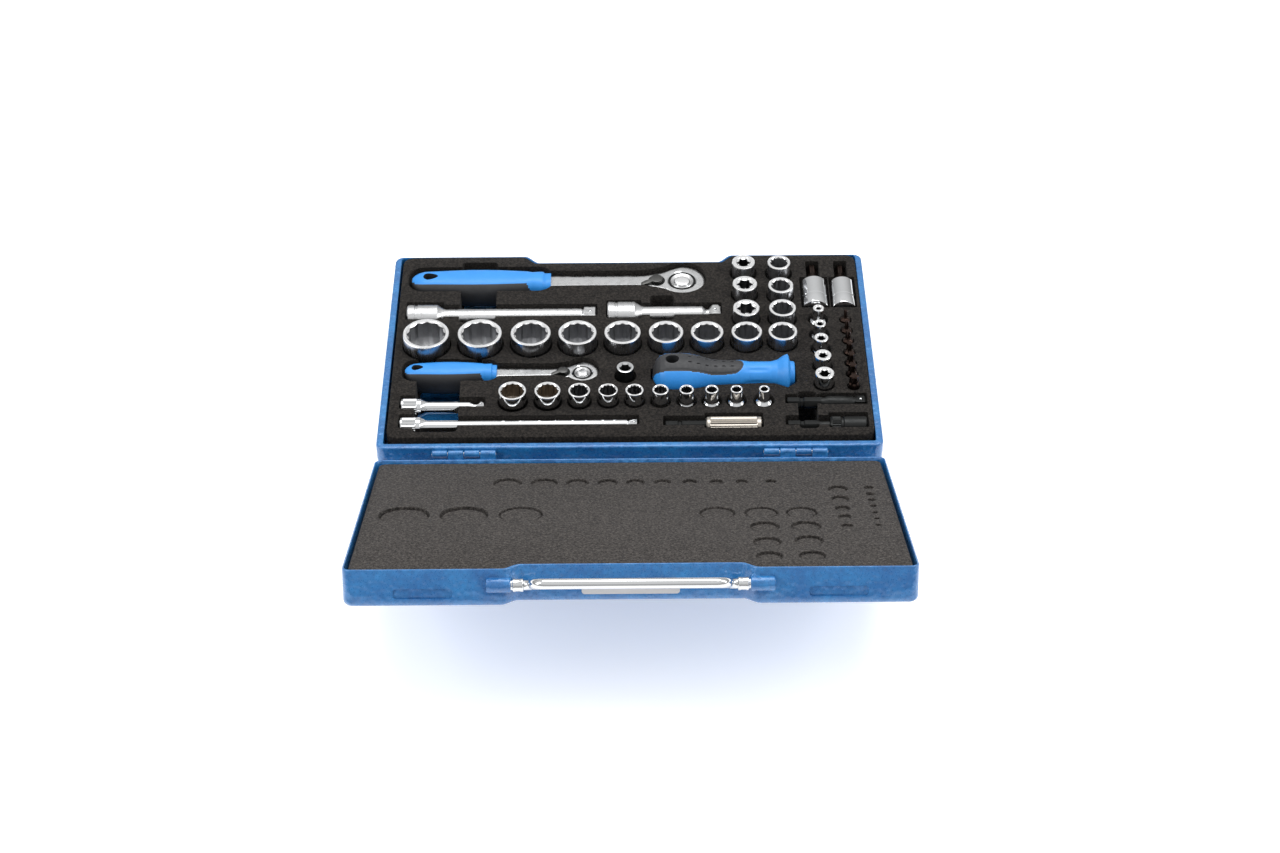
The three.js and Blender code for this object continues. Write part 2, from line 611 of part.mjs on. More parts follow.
// Finger cut-outs, open down to the tray's floor: x0, x1, y0, y1.
const FINGERS = [
  [-112, -88, 25, 88], [14, 30, 26.5, 51.5], [-136, -108, -82, -12], [106.4, 118.8, -81, -46.5],
];

// The foam block's plan outline, following the front wall's set-back.
function foamShape(left, right, near, far, r) {
  const shape = roundedRect(-left, right, -near, far, r);
  const inner = RECESS.flat + 2;
  const outer = inner + RECESS.slope;
  const set = far - RECESS.depth;
  const notch = polygon([
    [-outer, far + 1], [-outer, far], [-inner, set], [inner, set], [outer, far], [outer, far + 1]]);
  return { shape, notch };
}

function trayFoam() {
  const { shape, notch } = foamShape(FOAM.left, FOAM.right, FOAM.near, FOAM.far, FOAM.r);
  const block = cut(prism(shape, FOAM.floor, FOAM.top, 4), prism(notch, 0, 60));
  const fingers = FINGERS.map(([x0, x1, y0, y1]) => prism(roundedRect(x0, x1, y0, y1, 3), 0, 40, 2));
  return piece('base_foam', cut(block, ...pockets, ...fingers), foamGrey);
}

function lidFoam() {
  const { face, back, inset } = LID_FOAM;
  const [halfW, halfD] = [CASE.w / 2 - inset, CASE.d / 2 - inset];
  const { shape, notch } = foamShape(halfW, halfW, halfD, halfD, 4);
  const pad = cut(prism(shape, face, back, 3), prism(notch, 0, 60));
  return piece('lid_foam', cut(pad, ...prints), lidGrey);
}

// ---------- assembly ----------
const set = new THREE.Group();
set.add(baseShell(), trayFoam(), hingePin(-1), hingePin(1), ...tools);

// Drawn closed, then turned open about the hinge pins.
const closedLid = new THREE.Group();
closedLid.position.set(0, -HINGE.y, -HINGE.z);
closedLid.add(lidShell(), lidFoam(), carryHandle(), handleSleeve(-1), handleSleeve(1));
const lid = new THREE.Group();
lid.position.set(0, HINGE.y, HINGE.z);
lid.rotation.x = THREE.MathUtils.degToRad(HINGE.open);
lid.add(closedLid);
set.add(lid);

export default set;
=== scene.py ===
"""Looks for the socket wrench set in its hinged sheet-steel case. Sizes inside are millimetres; +X runs
along the hinge, +Y away from it and +Z up. Lid parts are written as on the closed case, then turned open."""

import math

import bmesh
import bpy
from mathutils import Matrix, Vector


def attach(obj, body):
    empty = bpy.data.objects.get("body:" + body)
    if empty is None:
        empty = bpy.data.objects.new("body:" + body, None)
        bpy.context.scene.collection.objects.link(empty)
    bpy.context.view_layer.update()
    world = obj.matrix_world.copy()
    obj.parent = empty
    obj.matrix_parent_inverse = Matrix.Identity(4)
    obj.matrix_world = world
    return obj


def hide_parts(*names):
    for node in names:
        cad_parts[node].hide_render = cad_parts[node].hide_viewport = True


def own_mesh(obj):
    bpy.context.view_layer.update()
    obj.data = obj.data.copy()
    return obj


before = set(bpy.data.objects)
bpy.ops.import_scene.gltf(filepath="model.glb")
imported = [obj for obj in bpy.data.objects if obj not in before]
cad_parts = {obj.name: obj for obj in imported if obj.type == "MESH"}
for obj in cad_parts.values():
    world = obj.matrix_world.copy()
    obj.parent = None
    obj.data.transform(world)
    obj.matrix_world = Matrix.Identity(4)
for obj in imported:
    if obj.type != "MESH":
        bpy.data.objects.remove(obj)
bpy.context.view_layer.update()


def new_object(name, data):
    obj = bpy.data.objects.new(name, data)
    bpy.context.scene.collection.objects.link(obj)
    return obj


# ---------- camera ----------
TILT_DOWN, ROLL, YAW = 42.03, 0.16, -0.45
cam_data = bpy.data.cameras.new("camera")
cam_data.sensor_width = 36
cam_data.lens = 68.7
cam_data.clip_end = 50
camera = new_object("camera", cam_data)
camera.location = (0.0004, -1.2138, 1.0529)
camera.rotation_euler = (math.radians(90 - TILT_DOWN), math.radians(ROLL), math.radians(YAW))
bpy.context.scene.camera = camera
bpy.context.scene.view_settings.view_transform = "Standard"

# ---------- dimensions shared with the frame ----------
CASE_W, CASE_D, RIM, LID_TOP, SHEET, LIP = 316, 192, 28.5, 51, 1.2, 4.5
RECESS_FLAT, RECESS_SLOPE, RECESS_DEPTH = 60, 9.5, 7
HINGE_Y, HINGE_Z, HINGE_OPEN, HINGE_X, HINGE_W = -98.6, 26, 155.4, 103, 40
FOAM_TOP, LID_FACE, LID_BACK = 29.6, 30.3, 49.6
PROUD = 39.2
HANDLE_Y, HANDLE_Z, HANDLE_REST = 96.5, 38, -22
MM = 0.001
PIVOT = Matrix.Translation((0, HINGE_Y, HINGE_Z))
OPEN = PIVOT @ Matrix.Rotation(math.radians(HINGE_OPEN), 4, "X") @ PIVOT.inverted()
ALONG_X = Matrix.Rotation(math.radians(90), 4, "Y")
ALONG_Y = Matrix.Rotation(math.radians(-90), 4, "X")
BACKWARDS = Matrix.Rotation(math.radians(90), 4, "X")
REST = Matrix.Identity(4)
SIDES = ((-1, "left"), (1, "right"))


def at(x, y, z):
    return Matrix.Translation((x, y, z))


# ---------- materials ----------
class Finish:
    """A procedural material: a Principled shader with layered colour, roughness and height detail."""

    def __init__(self, name, colour, roughness, metallic=0.0, **sockets):
        self.mat = bpy.data.materials.new(name)
        self.mat.use_nodes = True
        self.nodes, self.links = self.mat.node_tree.nodes, self.mat.node_tree.links
        self.shader = self.nodes["Principled BSDF"]
        self.shader.inputs["Base Color"].default_value = (*colour, 1)
        self.shader.inputs["Roughness"].default_value = roughness
        self.shader.inputs["Metallic"].default_value = metallic
        for key, value in sockets.items():
            self.shader.inputs[key.replace("_", " ")].default_value = value
        self.coords = self.nodes.new("ShaderNodeTexCoord").outputs["Object"]
        self.colour = tuple(colour)
        self.normal = None
        self.mat.diffuse_color = (*colour, 1)

    def add(self, kind, **settings):
        node = self.nodes.new(kind)
        for key, value in settings.items():
            setattr(node, key, value)
        return node

    def noise(self, scale, detail=3.0, stretch=None, rough=0.5):
        node = self.add("ShaderNodeTexNoise")
        node.inputs["Scale"].default_value = scale
        node.inputs["Detail"].default_value = detail
        node.inputs["Roughness"].default_value = rough
        self.links.new(self.stretched(stretch), node.inputs["Vector"])
        return node.outputs["Fac"]

    def cells(self, scale, smooth=False):
        node = self.add("ShaderNodeTexVoronoi", feature="SMOOTH_F1" if smooth else "F1")
        node.inputs["Scale"].default_value = scale
        self.links.new(self.coords, node.inputs["Vector"])
        return node.outputs["Distance"]

    def stretched(self, stretch):
        if stretch is None:
            return self.coords
        node = self.add("ShaderNodeMapping")
        node.inputs["Scale"].default_value = stretch
        self.links.new(self.coords, node.inputs["Vector"])
        return node.outputs["Vector"]

    def span(self, source, low, high, lo=0.0, hi=1.0):
        node = self.add("ShaderNodeMapRange")
        for key, value in (("From Min", low), ("From Max", high), ("To Min", lo), ("To Max", hi)):
            node.inputs[key].default_value = value
        self.links.new(source, node.inputs["Value"])
        return node.outputs["Result"]

    def mix_colour(self, factor, other):
        """Blends the colour so far towards another one."""
        node = self.add("ShaderNodeMix", data_type="RGBA")
        self.links.new(factor, node.inputs[0])
        if isinstance(self.colour, tuple):
            node.inputs[6].default_value = (*self.colour, 1)
        else:
            self.links.new(self.colour, node.inputs[6])
        node.inputs[7].default_value = (*other, 1)
        self.colour = node.outputs[2]
        self.links.new(self.colour, self.shader.inputs["Base Color"])
        return self

    def rough_from(self, source, low, high, lo, hi):
        self.links.new(self.span(source, low, high, lo, hi), self.shader.inputs["Roughness"])
        return self

    def bump(self, source, strength, distance):
        node = self.add("ShaderNodeBump")
        node.inputs["Strength"].default_value = strength
        node.inputs["Distance"].default_value = distance
        self.links.new(source, node.inputs["Height"])
        if self.normal is not None:
            self.links.new(self.normal, node.inputs["Normal"])
        self.normal = node.outputs["Normal"]
        self.links.new(self.normal, self.shader.inputs["Normal"])
        return self


def hammered_paint():
    f = Finish("hammered_blue_enamel", (0.012, 0.13, 0.37), 0.28, 0.1, Coat_Weight=0.75, Coat_Roughness=0.07)
    f.mix_colour(f.span(f.noise(60, 2), 0.35, 0.7), (0.02, 0.19, 0.47))
    f.mix_colour(f.span(f.cells(420, smooth=True), 0.15, 0.75, 0.0, 0.35), (0.005, 0.06, 0.2))
    f.rough_from(f.noise(900, 2), 0.3, 0.7, 0.24, 0.38)
    f.bump(f.cells(320, smooth=True), 0.8, 0.001)
    f.bump(f.noise(140, 2), 0.25, 0.0006)
    return f.mat


def foam(name, dark, light, cell):
    f = Finish(name, dark, 0.95, 0.0, Specular_IOR_Level=0.12, Sheen_Weight=0.05, Sheen_Roughness=0.6)
    f.mix_colour(f.span(f.noise(cell * 0.8, 5, rough=0.8), 0.44, 0.64), light)
    f.mix_colour(f.span(f.cells(cell * 1.3), 0.0, 0.35, 0.55, 0.0), tuple(0.35 * c for c in dark))
    f.bump(f.noise(cell * 0.8, 4, rough=0.7), 0.6, 0.0009)
    f.bump(f.cells(cell * 1.6), 0.45, 0.0006)
    return f.mat


def metal(name, colour, roughness, grain=None, spread=0.08, smudge=0.0):
    f = Finish(name, colour, roughness, 1.0)
    f.rough_from(f.noise(260, 4, grain), 0.3, 0.7, max(0.03, roughness - spread), roughness + spread)
    f.mix_colour(f.span(f.noise(45, 3), 0.45, 0.75, 0.0, 0.18 + smudge), tuple(0.75 * c for c in colour))
    f.bump(f.noise(900, 3, grain), 0.08, 0.0001)
    return f.mat


def moulded(name, colour, speck, roughness, grain=1500):
    f = Finish(name, colour, roughness, 0.0, Coat_Weight=0.08, Coat_Roughness=0.4)
    f.mix_colour(f.span(f.noise(120, 3), 0.35, 0.75, 0.0, 0.5), speck)
    f.rough_from(f.noise(600, 3), 0.3, 0.7, roughness - 0.06, roughness + 0.1)
    f.bump(f.noise(grain, 3), 0.35, 0.0002)
    return f.mat


PAINT = hammered_paint()
TRAY_FOAM = foam("tray_foam_charcoal", (0.005, 0.0042, 0.0038), (0.036, 0.031, 0.027), 950)
LID_FOAM = foam("lid_foam_grey", (0.018, 0.016, 0.015), (0.1, 0.09, 0.083), 900)
CHROME = metal("bright_chrome", (0.66, 0.67, 0.68), 0.08, None, 0.04)
# a lighter copy of the chrome: painted highlight, used on socket rims, socket floors and push buttons
STEEL_PAINTED_HIGHLIGHT = metal("steel_painted_highlight", (0.9, 0.905, 0.91), 0.22, None, 0.05)
SATIN = metal("satin_chrome", (0.6, 0.605, 0.61), 0.3, (1, 1, 0.15), 0.09)
# a darker copy of the steel for the inside of holes: painted shade
HOLE_STEEL_PAINTED_SHADE = metal("bore_painted_shade", (0.2, 0.204, 0.215), 0.46, (1, 1, 0.08), 0.12, 0.3)
# a darker copy of the socket chrome: painted dark reflection of the foam, used on the 3/8 in. socket walls
SOCKET_STEEL_PAINTED_DARK = metal("socket_wall_painted_dark_reflection", (0.4, 0.405, 0.42), 0.26, (1, 1, 0.2), 0.08)
# two more darker copies for the inside of holes: painted shade with a warmer tint, and deeper painted shade
# for narrow bores
HOLE_STEEL_PAINTED_SHADE_WARM = metal("bore_painted_shade_warm", (0.2, 0.16, 0.12), 0.4, (1, 1, 0.08), 0.12, 0.4)
HOLE_STEEL_PAINTED_DEEP_SHADE = metal("bore_painted_deep_shade", (0.1, 0.1, 0.105), 0.4, (1, 1, 0.08), 0.1, 0.3)
ZINC = metal("zinc_plate", (0.78, 0.79, 0.8), 0.2, None, 0.08, 0.1)
BLACK = metal("phosphated_black", (0.028, 0.029, 0.029), 0.42, None, 0.1)
BIT = metal("burnished_brown_black", (0.035, 0.023, 0.019), 0.36, None, 0.1)
FLUTED = metal("fluted_sleeve", (0.4, 0.37, 0.33), 0.3, (0.15, 1, 1), 0.08)
GUNMETAL = metal("gunmetal_lever", (0.1, 0.1, 0.098), 0.36, None, 0.1)
DARK = Finish("deep_shadow_bore", (0.02, 0.02, 0.021), 0.6, 0.6)
DARK = DARK.rough_from(DARK.noise(400), 0.3, 0.7, 0.5, 0.75).mat
AZURE = moulded("azure_grip", (0.022, 0.235, 0.66), (0.035, 0.285, 0.74), 0.4)
RUBBER = moulded("charcoal_grip", (0.02, 0.021, 0.024), (0.032, 0.033, 0.036), 0.55, 900)
PLATE = moulded("pale_plate", (0.47, 0.47, 0.48), (0.53, 0.53, 0.54), 0.38)


# ---------- mesh makers ----------
def new_mesh(name, verts, faces, place):
    """A mesh in metres from placed points in millimetres, its faces turned outwards."""
    mesh = bpy.data.meshes.new(name)
    mesh.from_pydata([tuple((place @ Vector(v)) * MM) for v in verts], [], faces)
    bm = bmesh.new()
    bm.from_mesh(mesh)
    bmesh.ops.recalc_face_normals(bm, faces=bm.faces)
    bm.to_mesh(mesh)
    bm.free()
    return mesh


def piece(name, verts, faces, body, materials, place=REST, sharp=34, nodes=(), bands=None, per=1):
    """A finished mesh piece: placed, smooth apart from its sharp edges, and riding on a body. bands gives
    the material of each run of per faces, and its last entry holds for all that follow."""
    mesh = new_mesh(name, verts, faces, place)
    for m in materials if isinstance(materials, list) else [materials]:
        mesh.materials.append(m)
    if bands:
        for polygon in mesh.polygons:
            k = polygon.index // per
            polygon.material_index = bands[min(k, len(bands) - 1)]
    mesh.polygons.foreach_set("use_smooth", [True] * len(mesh.polygons))
    mesh.set_sharp_from_angle(angle=math.radians(sharp))
    obj = new_object(name, mesh)
    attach(obj, body)
    if nodes:
        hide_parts(*nodes)
    return obj


def loft(rings, loop=False):
    """Vertices and faces of equal rings joined in order, capped at both ends unless they close in a loop."""
    n = len(rings[0])
    verts = [p for ring in rings for p in ring]
    faces = []
    for k in range(len(rings) - (0 if loop else 1)):
        a, b = k * n, ((k + 1) % len(rings)) * n
        faces += [(a + i, a + (i + 1) % n, b + (i + 1) % n, b + i) for i in range(n)]
    if not loop:
        faces += [tuple(range(n))[::-1], tuple(range(len(verts) - n, len(verts)))]
    return verts, faces


def ring(outline, z):
    return [(x, y, z) for x, y in outline]


def circle(r, n=48):
    return [(r * math.cos(2 * math.pi * i / n), r * math.sin(2 * math.pi * i / n)) for i in range(n)]


def arc(cx, cy, r, quarter, steps=8):
    """A quarter circle; quarter 0 runs from +X to +Y, and the others follow counter-clockwise."""
    angles = ((quarter + i / steps) * math.pi / 2 for i in range(steps + 1))
    return [(cx + r * math.cos(a), cy + r * math.sin(a)) for a in angles]


def quarter_turn(steps):
    return [math.pi / 2 * i / steps for i in range(steps + 1)]


def ease(t):
    """A smooth step from 0 to 1."""
    return t * t * (3 - 2 * t)


def star(tips, outer, inner, n=48):
    """A star outline sampled at n points along its straight sides."""
    points = []
    for i in range(n):
        t = 2 * tips * i / n
        k = int(t)
        ends = [((outer, inner)[j % 2], math.pi * j / tips) for j in (k, k + 1)]
        (x0, y0), (x1, y1) = [(r * math.cos(a), r * math.sin(a)) for r, a in ends]
        points.append((x0 + (x1 - x0) * (t - k), y0 + (y1 - y0) * (t - k)))
    return points


def sided(sides, flats, n=48, soft=0.93):
    """A regular polygon by its width across flats, with slightly rounded corners, sampled at n angles."""
    points = []
    half = math.pi / sides
    for i in range(n):
        a = 2 * math.pi * i / n
        off = (a + half) % (2 * half) - half
        r = min(flats / 2 / math.cos(off), soft * flats / 2 / math.cos(half) + (1 - soft) * flats / 2)
        points.append((r * math.cos(a), r * math.sin(a)))
    return points


def squared(side, n=48):
    return sided(4, side, n)


def knurled(r, depth, n=48):
    """A circle with every second point set in."""
    shares = [1 - depth / r * (i % 2) for i in range(n)]
    return [(x * k, y * k) for k, (x, y) in zip(shares, circle(r, n))]


def turned(profile, n=48):
    """Rings of a turned profile of (radius, height)."""
    return [ring(circle(max(r, 0.01), n), z) for r, z in profile]


def prisms(sides, profile):
    """Rings of a polygonal bar's profile of (width across flats, height)."""
    return [ring(sided(sides, flats), z) for flats, z in profile]


def lofted(name, rings, body, materials, place=REST, nodes=(), bands=None, sharp=34, loop=False):
    verts, faces = loft(rings, loop)
    return piece(name, verts, faces, body, materials, place, sharp, nodes, bands, len(rings[0]))


def rounded(x0, x1, y0, y1, r, steps=6):
    """A rounded rectangle, counter-clockwise from the upper end of its right side."""
    r = min(r, (x1 - x0) / 2 - 0.01, (y1 - y0) / 2 - 0.01)
    corners = ((x1 - r, y1 - r), (x0 + r, y1 - r), (x0 + r, y0 + r), (x1 - r, y0 + r))
    return [p for quarter, (cx, cy) in enumerate(corners) for p in arc(cx, cy, r, quarter, steps)]


def hidden(rings, place):
    """A solid to cut with, which carve removes again."""
    return new_object("cutter", new_mesh("cutter", *loft(rings), place))


def cutter(outline, z0, z1, place=REST, grow=0.0):
    """A hidden solid for cutting pockets; grow widens its top."""
    cx = sum(p[0] for p in outline) / len(outline)
    cy = sum(p[1] for p in outline) / len(outline)
    wide = []
    for x, y in outline:
        d = math.hypot(x - cx, y - cy) or 1
        wide.append((x + grow * (x - cx) / d, y + grow * (y - cy) / d))
    return hidden([ring(outline, z0), ring(wide, z1)], place)


def dent(x, y, r, depth, crease):
    """A hidden solid for pressing a round print into the lid foam, with a deeper crease round its edge."""
    z = LID_FACE
    steps = [(r + 0.3, z - 1), (r + 0.3, z - 0.02), (r, z + 0.3), (r, z + depth + crease),
             (r - 1.0, z + depth + crease), (r - 1.5, z + depth), (0.02, z + depth)]
    return hidden(turned([(max(a, 0.02), h) for a, h in steps], 44), OPEN @ at(x, y, 0))


def carve(obj, cutters, sharp=34):
    """Cuts every cutter out of the piece and removes the cutters."""
    for c in cutters:
        step = obj.modifiers.new("cut", "BOOLEAN")
        step.operation, step.object, step.solver = "DIFFERENCE", c, "MANIFOLD"
    bpy.context.view_layer.update()
    made = bpy.data.meshes.new_from_object(obj.evaluated_get(bpy.context.evaluated_depsgraph_get()))
    obj.modifiers.clear()
    made.polygons.foreach_set("use_smooth", [True] * len(made.polygons))
    made.set_sharp_from_angle(angle=math.radians(sharp))
    obj.data = made
    for c in cutters:
        bpy.data.objects.remove(c)


def darken(obj, place, inside):
    """Gives the faces of a hole the piece's second material."""
    back = place.inverted()
    for polygon in obj.data.polygons:
        if abs(polygon.normal.z) < 0.5 and inside(back @ (polygon.center * 1000)):
            polygon.material_index = 1


def sweep(path, r, n=16):
    """Rings of a round rod along a path in a plane."""
    rings = []
    side = Vector((0, 0, 1))
    for i, p in enumerate(path):
        ahead = Vector(path[min(i + 1, len(path) - 1)]) - Vector(path[max(i - 1, 0)])
        across = ahead.normalized().cross(side)
        radius = r * (0.75 if i in (0, len(path) - 1) else 1)
        rings.append([
            tuple(Vector(p) + radius * (math.cos(a) * across + math.sin(a) * side))
            for a in (2 * math.pi * k / n for k in range(n))])
    return rings


# ---------- case ----------
def set_back(inner, y):
    """The set-back in the front wall, from its right end to its left; inner is half its flat's width."""
    shares = [i / 10 for i in range(11)]
    curve = [(inner + RECESS_SLOPE * (1 - t), y - RECESS_DEPTH * ease(t)) for t in shares]
    return curve + [(-px, py) for px, py in reversed(curve)]


def block_outline(x0, x1, y0, y1, r, inner):
    """A rounded rectangle with the front wall's set-back."""
    return (arc(x1 - r, y1 - r, r, 0) + set_back(inner, y1) + arc(x0 + r, y1 - r, r, 1)
            + arc(x0 + r, y0 + r, r, 2) + arc(x1 - r, y0 + r, r, 3))


def case_outline(near, side=None, far=None):
    """The case's plan outline set in from each outer face."""
    side = near if side is None else side
    far = near if far is None else far
    x = CASE_W / 2 - side
    return block_outline(-x, x, -CASE_D / 2 + near, CASE_D / 2 - far, max(5.5 - near, 1.5),
                         RECESS_FLAT + far)


def case_ring(inset, z):
    return ring(case_outline(inset), z)


def lip_ring(share, z):
    """Part of the way from the outer face to the lip's inner edge; the front wall has no lip."""
    return ring(case_outline(LIP * share, LIP * share, SHEET * share), z)


def tray_shell():
    r = 3
    rings = [case_ring(r - r * math.sin(a), r - r * math.cos(a)) for a in quarter_turn(5)]
    rings.append(case_ring(0, RIM - 1.3))
    rings += [lip_ring(share, RIM - drop) for share, drop in (
        (0.06, 0.55), (0.16, 0.15), (0.3, 0), (0.85, 0), (0.97, 0.25), (1, 0.8), (1, LIP))]
    rings += [case_ring(inset, z) for inset, z in (
        (SHEET, RIM - LIP), (SHEET, 3.2), (SHEET + 0.7, 1.8), (3.4, SHEET))]
    lofted("tray_pan", rings, "tray", PAINT, nodes=["base_shell"], sharp=50)


def lid_shell():
    r = 3.6
    rings = [case_ring(inset, z) for inset, z in (
        (3.9, LID_TOP - SHEET), (1.7, LID_TOP - 1.9), (SHEET, LID_TOP - 3.9), (SHEET, RIM + 0.9),
        (1.0, RIM + 0.45), (0.55, RIM + 0.3), (0.2, RIM + 0.45), (0, RIM + 1))]
    rings += [case_ring(r - r * math.cos(a), LID_TOP - r + r * math.sin(a)) for a in quarter_turn(5)]
    shell = lofted("lid_pan", rings, "lid", PAINT, OPEN, ["lid_shell"], sharp=50)
    # a pressed dent near each end of the lid's front wall, its cutter drawn flat and stood up along +Y
    dents = [cutter(rounded(x0, x1, -46, -40.2, 1.6), 95.1, 96.6, OPEN @ ALONG_Y, 0.25)
             for x0, x1 in ((-130, -98), (98, 130))]
    carve(shell, dents, 50)


def hinge(side, name):
    step = HINGE_W / 4
    wall = -CASE_D / 2 + 0.1
    x0, x1 = side * HINGE_X - HINGE_W / 2, side * HINGE_X + HINGE_W / 2
    for body, place, first, up in (("tray", REST, 0, -1), ("lid", OPEN, 1, 1)):
        low, high = sorted((HINGE_Z + up * 2.6, HINGE_Z + up * 13))
        outline = rounded(x0, x1, -high, -low, 1.2)
        rings = [ring(rounded(x0 + 0.4, x1 - 0.4, -high + 0.4, -low - 0.4, 1), wall - 1.3),
                 ring(outline, wall - 0.2), ring(outline, wall)]
        lofted(f"hinge_leaf_{body}_{name}", rings, body, PAINT, place @ ALONG_Y)
        low, high = sorted((HINGE_Z + up * 0.4, HINGE_Z + up * 3.4))
        for i in range(first, 4, 2):
            a = x0 + i * step + 0.2
            b = a + step - 0.4
            barrel = turned([(1.2, a), (1.8, a), (2.2, a + 0.4), (2.2, b - 0.4), (1.8, b), (1.2, b)], 24)
            lofted(f"hinge_knuckle_{name}_{i + 1}", barrel, body, PAINT,
                   place @ PIVOT @ ALONG_X)
            web = rounded(a, b, -high, -low, 0.2, 2)
            lofted(f"hinge_web_{name}_{i + 1}", [ring(web, wall - 1.25), ring(web, wall - 0.4)], body,
                   PAINT, place @ ALONG_Y)
        # two spot-weld marks on each leaf
        for k, dx in enumerate((-12, 12)):
            mark = turned([(0.01, 1.36), (0.7, 1.34), (1.3, 1.2), (1.3, 1.0)], 20)
            spot = place @ at(side * HINGE_X + dx, wall, HINGE_Z + up * 8) @ BACKWARDS
            lofted(f"hinge_weld_{body}_{name}_{k + 1}", mark, body, PAINT, spot)
    pin = turned([(0.7, x0), (1, x0 + 0.3), (1, x1 - 0.3), (0.7, x1)], 20)
    lofted(f"hinge_pin_steel_{name}", pin, "tray", SATIN, PIVOT @ ALONG_X,
           [f"hinge_pin_{name}"])


def handle():
    r, arm, half, end, bend = 2.9, 26, 52, 77, 7
    path = [(end, 0), (end - 2, 0), (half + bend + 2, 0)]
    path += [(half + bend - bend * math.sin(a), bend - bend * math.cos(a)) for a in quarter_turn(8)]
    path += [(half - bend + bend * math.cos(a), arm - bend + bend * math.sin(a)) for a in quarter_turn(8)]
    path += [(half - bend - 8, arm), (20, arm)]
    path = [(x, y, 0) for x, y in path]
    path += [(-x, y, 0) for x, y, _ in reversed(path)]
    axle = OPEN @ at(0, HANDLE_Y, HANDLE_Z)
    pose = axle @ Matrix.Rotation(math.radians(HANDLE_REST), 4, "X")
    lofted("bail_handle", sweep(path, r, 20), "handle", CHROME, pose, ["carry_handle"], sharp=60)
    collar = [(3.3, 58.5), (3.5, 58.5), (3.8, 58.9), (3.8, 60), (3.6, 60.4), (3.6, 62.8), (3.8, 63.2),
              (3.8, 64.2), (3.5, 64.6), (3.3, 64.6)]
    bracket = [(3.2, 65.5), (3.8, 65.5), (4.2, 66), (4.2, 78), (3.9, 78.8), (2.4, 79), (2.2, 78.6),
               (0.01, 78.5), (0.01, 78.3), (3.2, 78.2)]
    place = axle @ ALONG_X
    for side, name in SIDES:
        lofted(f"handle_collar_{name}", turned([(a, side * z) for a, z in collar]), "lid",
               CHROME, place, [f"handle_sleeve_{name}"], loop=True)
        lofted(f"handle_bracket_{name}", turned([(a, side * z) for a, z in bracket]), "lid",
               PAINT, place, loop=True)
        x0, x1 = sorted((side * 66, side * 78.4))
        foot = [ring(rounded(x0, x1, -HANDLE_Z - w, -HANDLE_Z + w, 1.4), y)
                for w, y in ((5.4, 88.2), (5.4, 95.2), (4.6, 95.9), (3.7, 96.2))]
        foot_piece = lofted(f"handle_bracket_foot_{name}", foot, "lid", PAINT, OPEN @ ALONG_Y)
        carve(foot_piece, [cutter(circle(3.3, 32), x0 - 1, x1 + 1, place)])
    plate = [ring(rounded(-27 + i, 27 - i, -46.4 + i, -37.4 - i, 1.8), y)
             for i, y in ((0, 88.8), (0, 89.45), (0.35, 89.7))]
    lofted("label_plate_blank", plate, "lid", PLATE, OPEN @ ALONG_Y)
    for k, x in enumerate((-24.4, 24.4)):
        stud = turned([(0.01, 90.15), (0.7, 90.05), (1.1, 89.75), (1.1, 89.5)], 20)
        lofted(f"label_rivet_{k + 1}", stud, "lid", ZINC, OPEN @ at(x, 0, 41.9) @ ALONG_Y)


# ---------- tools ----------
# per drive size: its square, the hole for it, that hole's depth, a socket's length and its mouth's depth
DRIVES = {"38": dict(side=9.5, socket=9.7, depth=11, length=28, mouth=13),
          "14": dict(side=6.3, socket=6.5, depth=8, length=25, mouth=11)}
# nominal size, outside diameter and place along the row or column
ROW38 = ((22, 30, -131.5), (21, 28.8, -96.7), (19, 26.2, -63.7), (18, 25, -33.4), (17, 23.8, -4.2),
         (16, 22.6, 24), (15, 21.4, 50.6), (14, 20.1, 76.3), (13, 18.9, 99.7))
COLUMN38 = ((12, 17.8, 26.4), (11, 16.8, 50), (10, 15.5, 74.3))
ROW14 = ((13, 17.8, -73.9), (12, 16.7, -51.7), (10, 14.1, -31.7), (9, 12.6, -13.5), (8, 11.8, 3.2),
         (7, 10.6, 19.6), (6, 9.4, 36.1), (5.5, 8.7, 52), (5, 7.9, 67.6), (4, 7, 85.1))
# number, width over the tips, outside diameter and place along the column
STAR38 = ((14, 12.9, 17.5, 26.6), (12, 11.1, 16.5, 51.8), (10, 9.4, 15.5, 74.9))
STAR14 = ((4, 3.9, 7.4, 25.9), (5, 4.7, 8, 10.2), (6, 5.7, 9.4, -4.2), (7, 6.2, 11, -21.5),
          (8, 7.5, 12.2, -39.2))
HEX_SHANK = [(5.2, 0), (6.35, 0.7), (6.35, 8), (5.2, 8.8), (5.2, 10.4), (6.35, 11.2)]
# filled while the tools are made: (x, y, widest radius, foot height, top radius) of each socket, and
# (outline, floor height[, centre]) of each other pocket
standing = []
tray_pockets = []


def drive_hole(d, edge):
    """The square hole of a drive end, from its floor to its bevelled mouth."""
    return prisms(4, [(d["socket"], d["depth"]), (d["socket"], edge), (d["socket"] + 1, 0)])


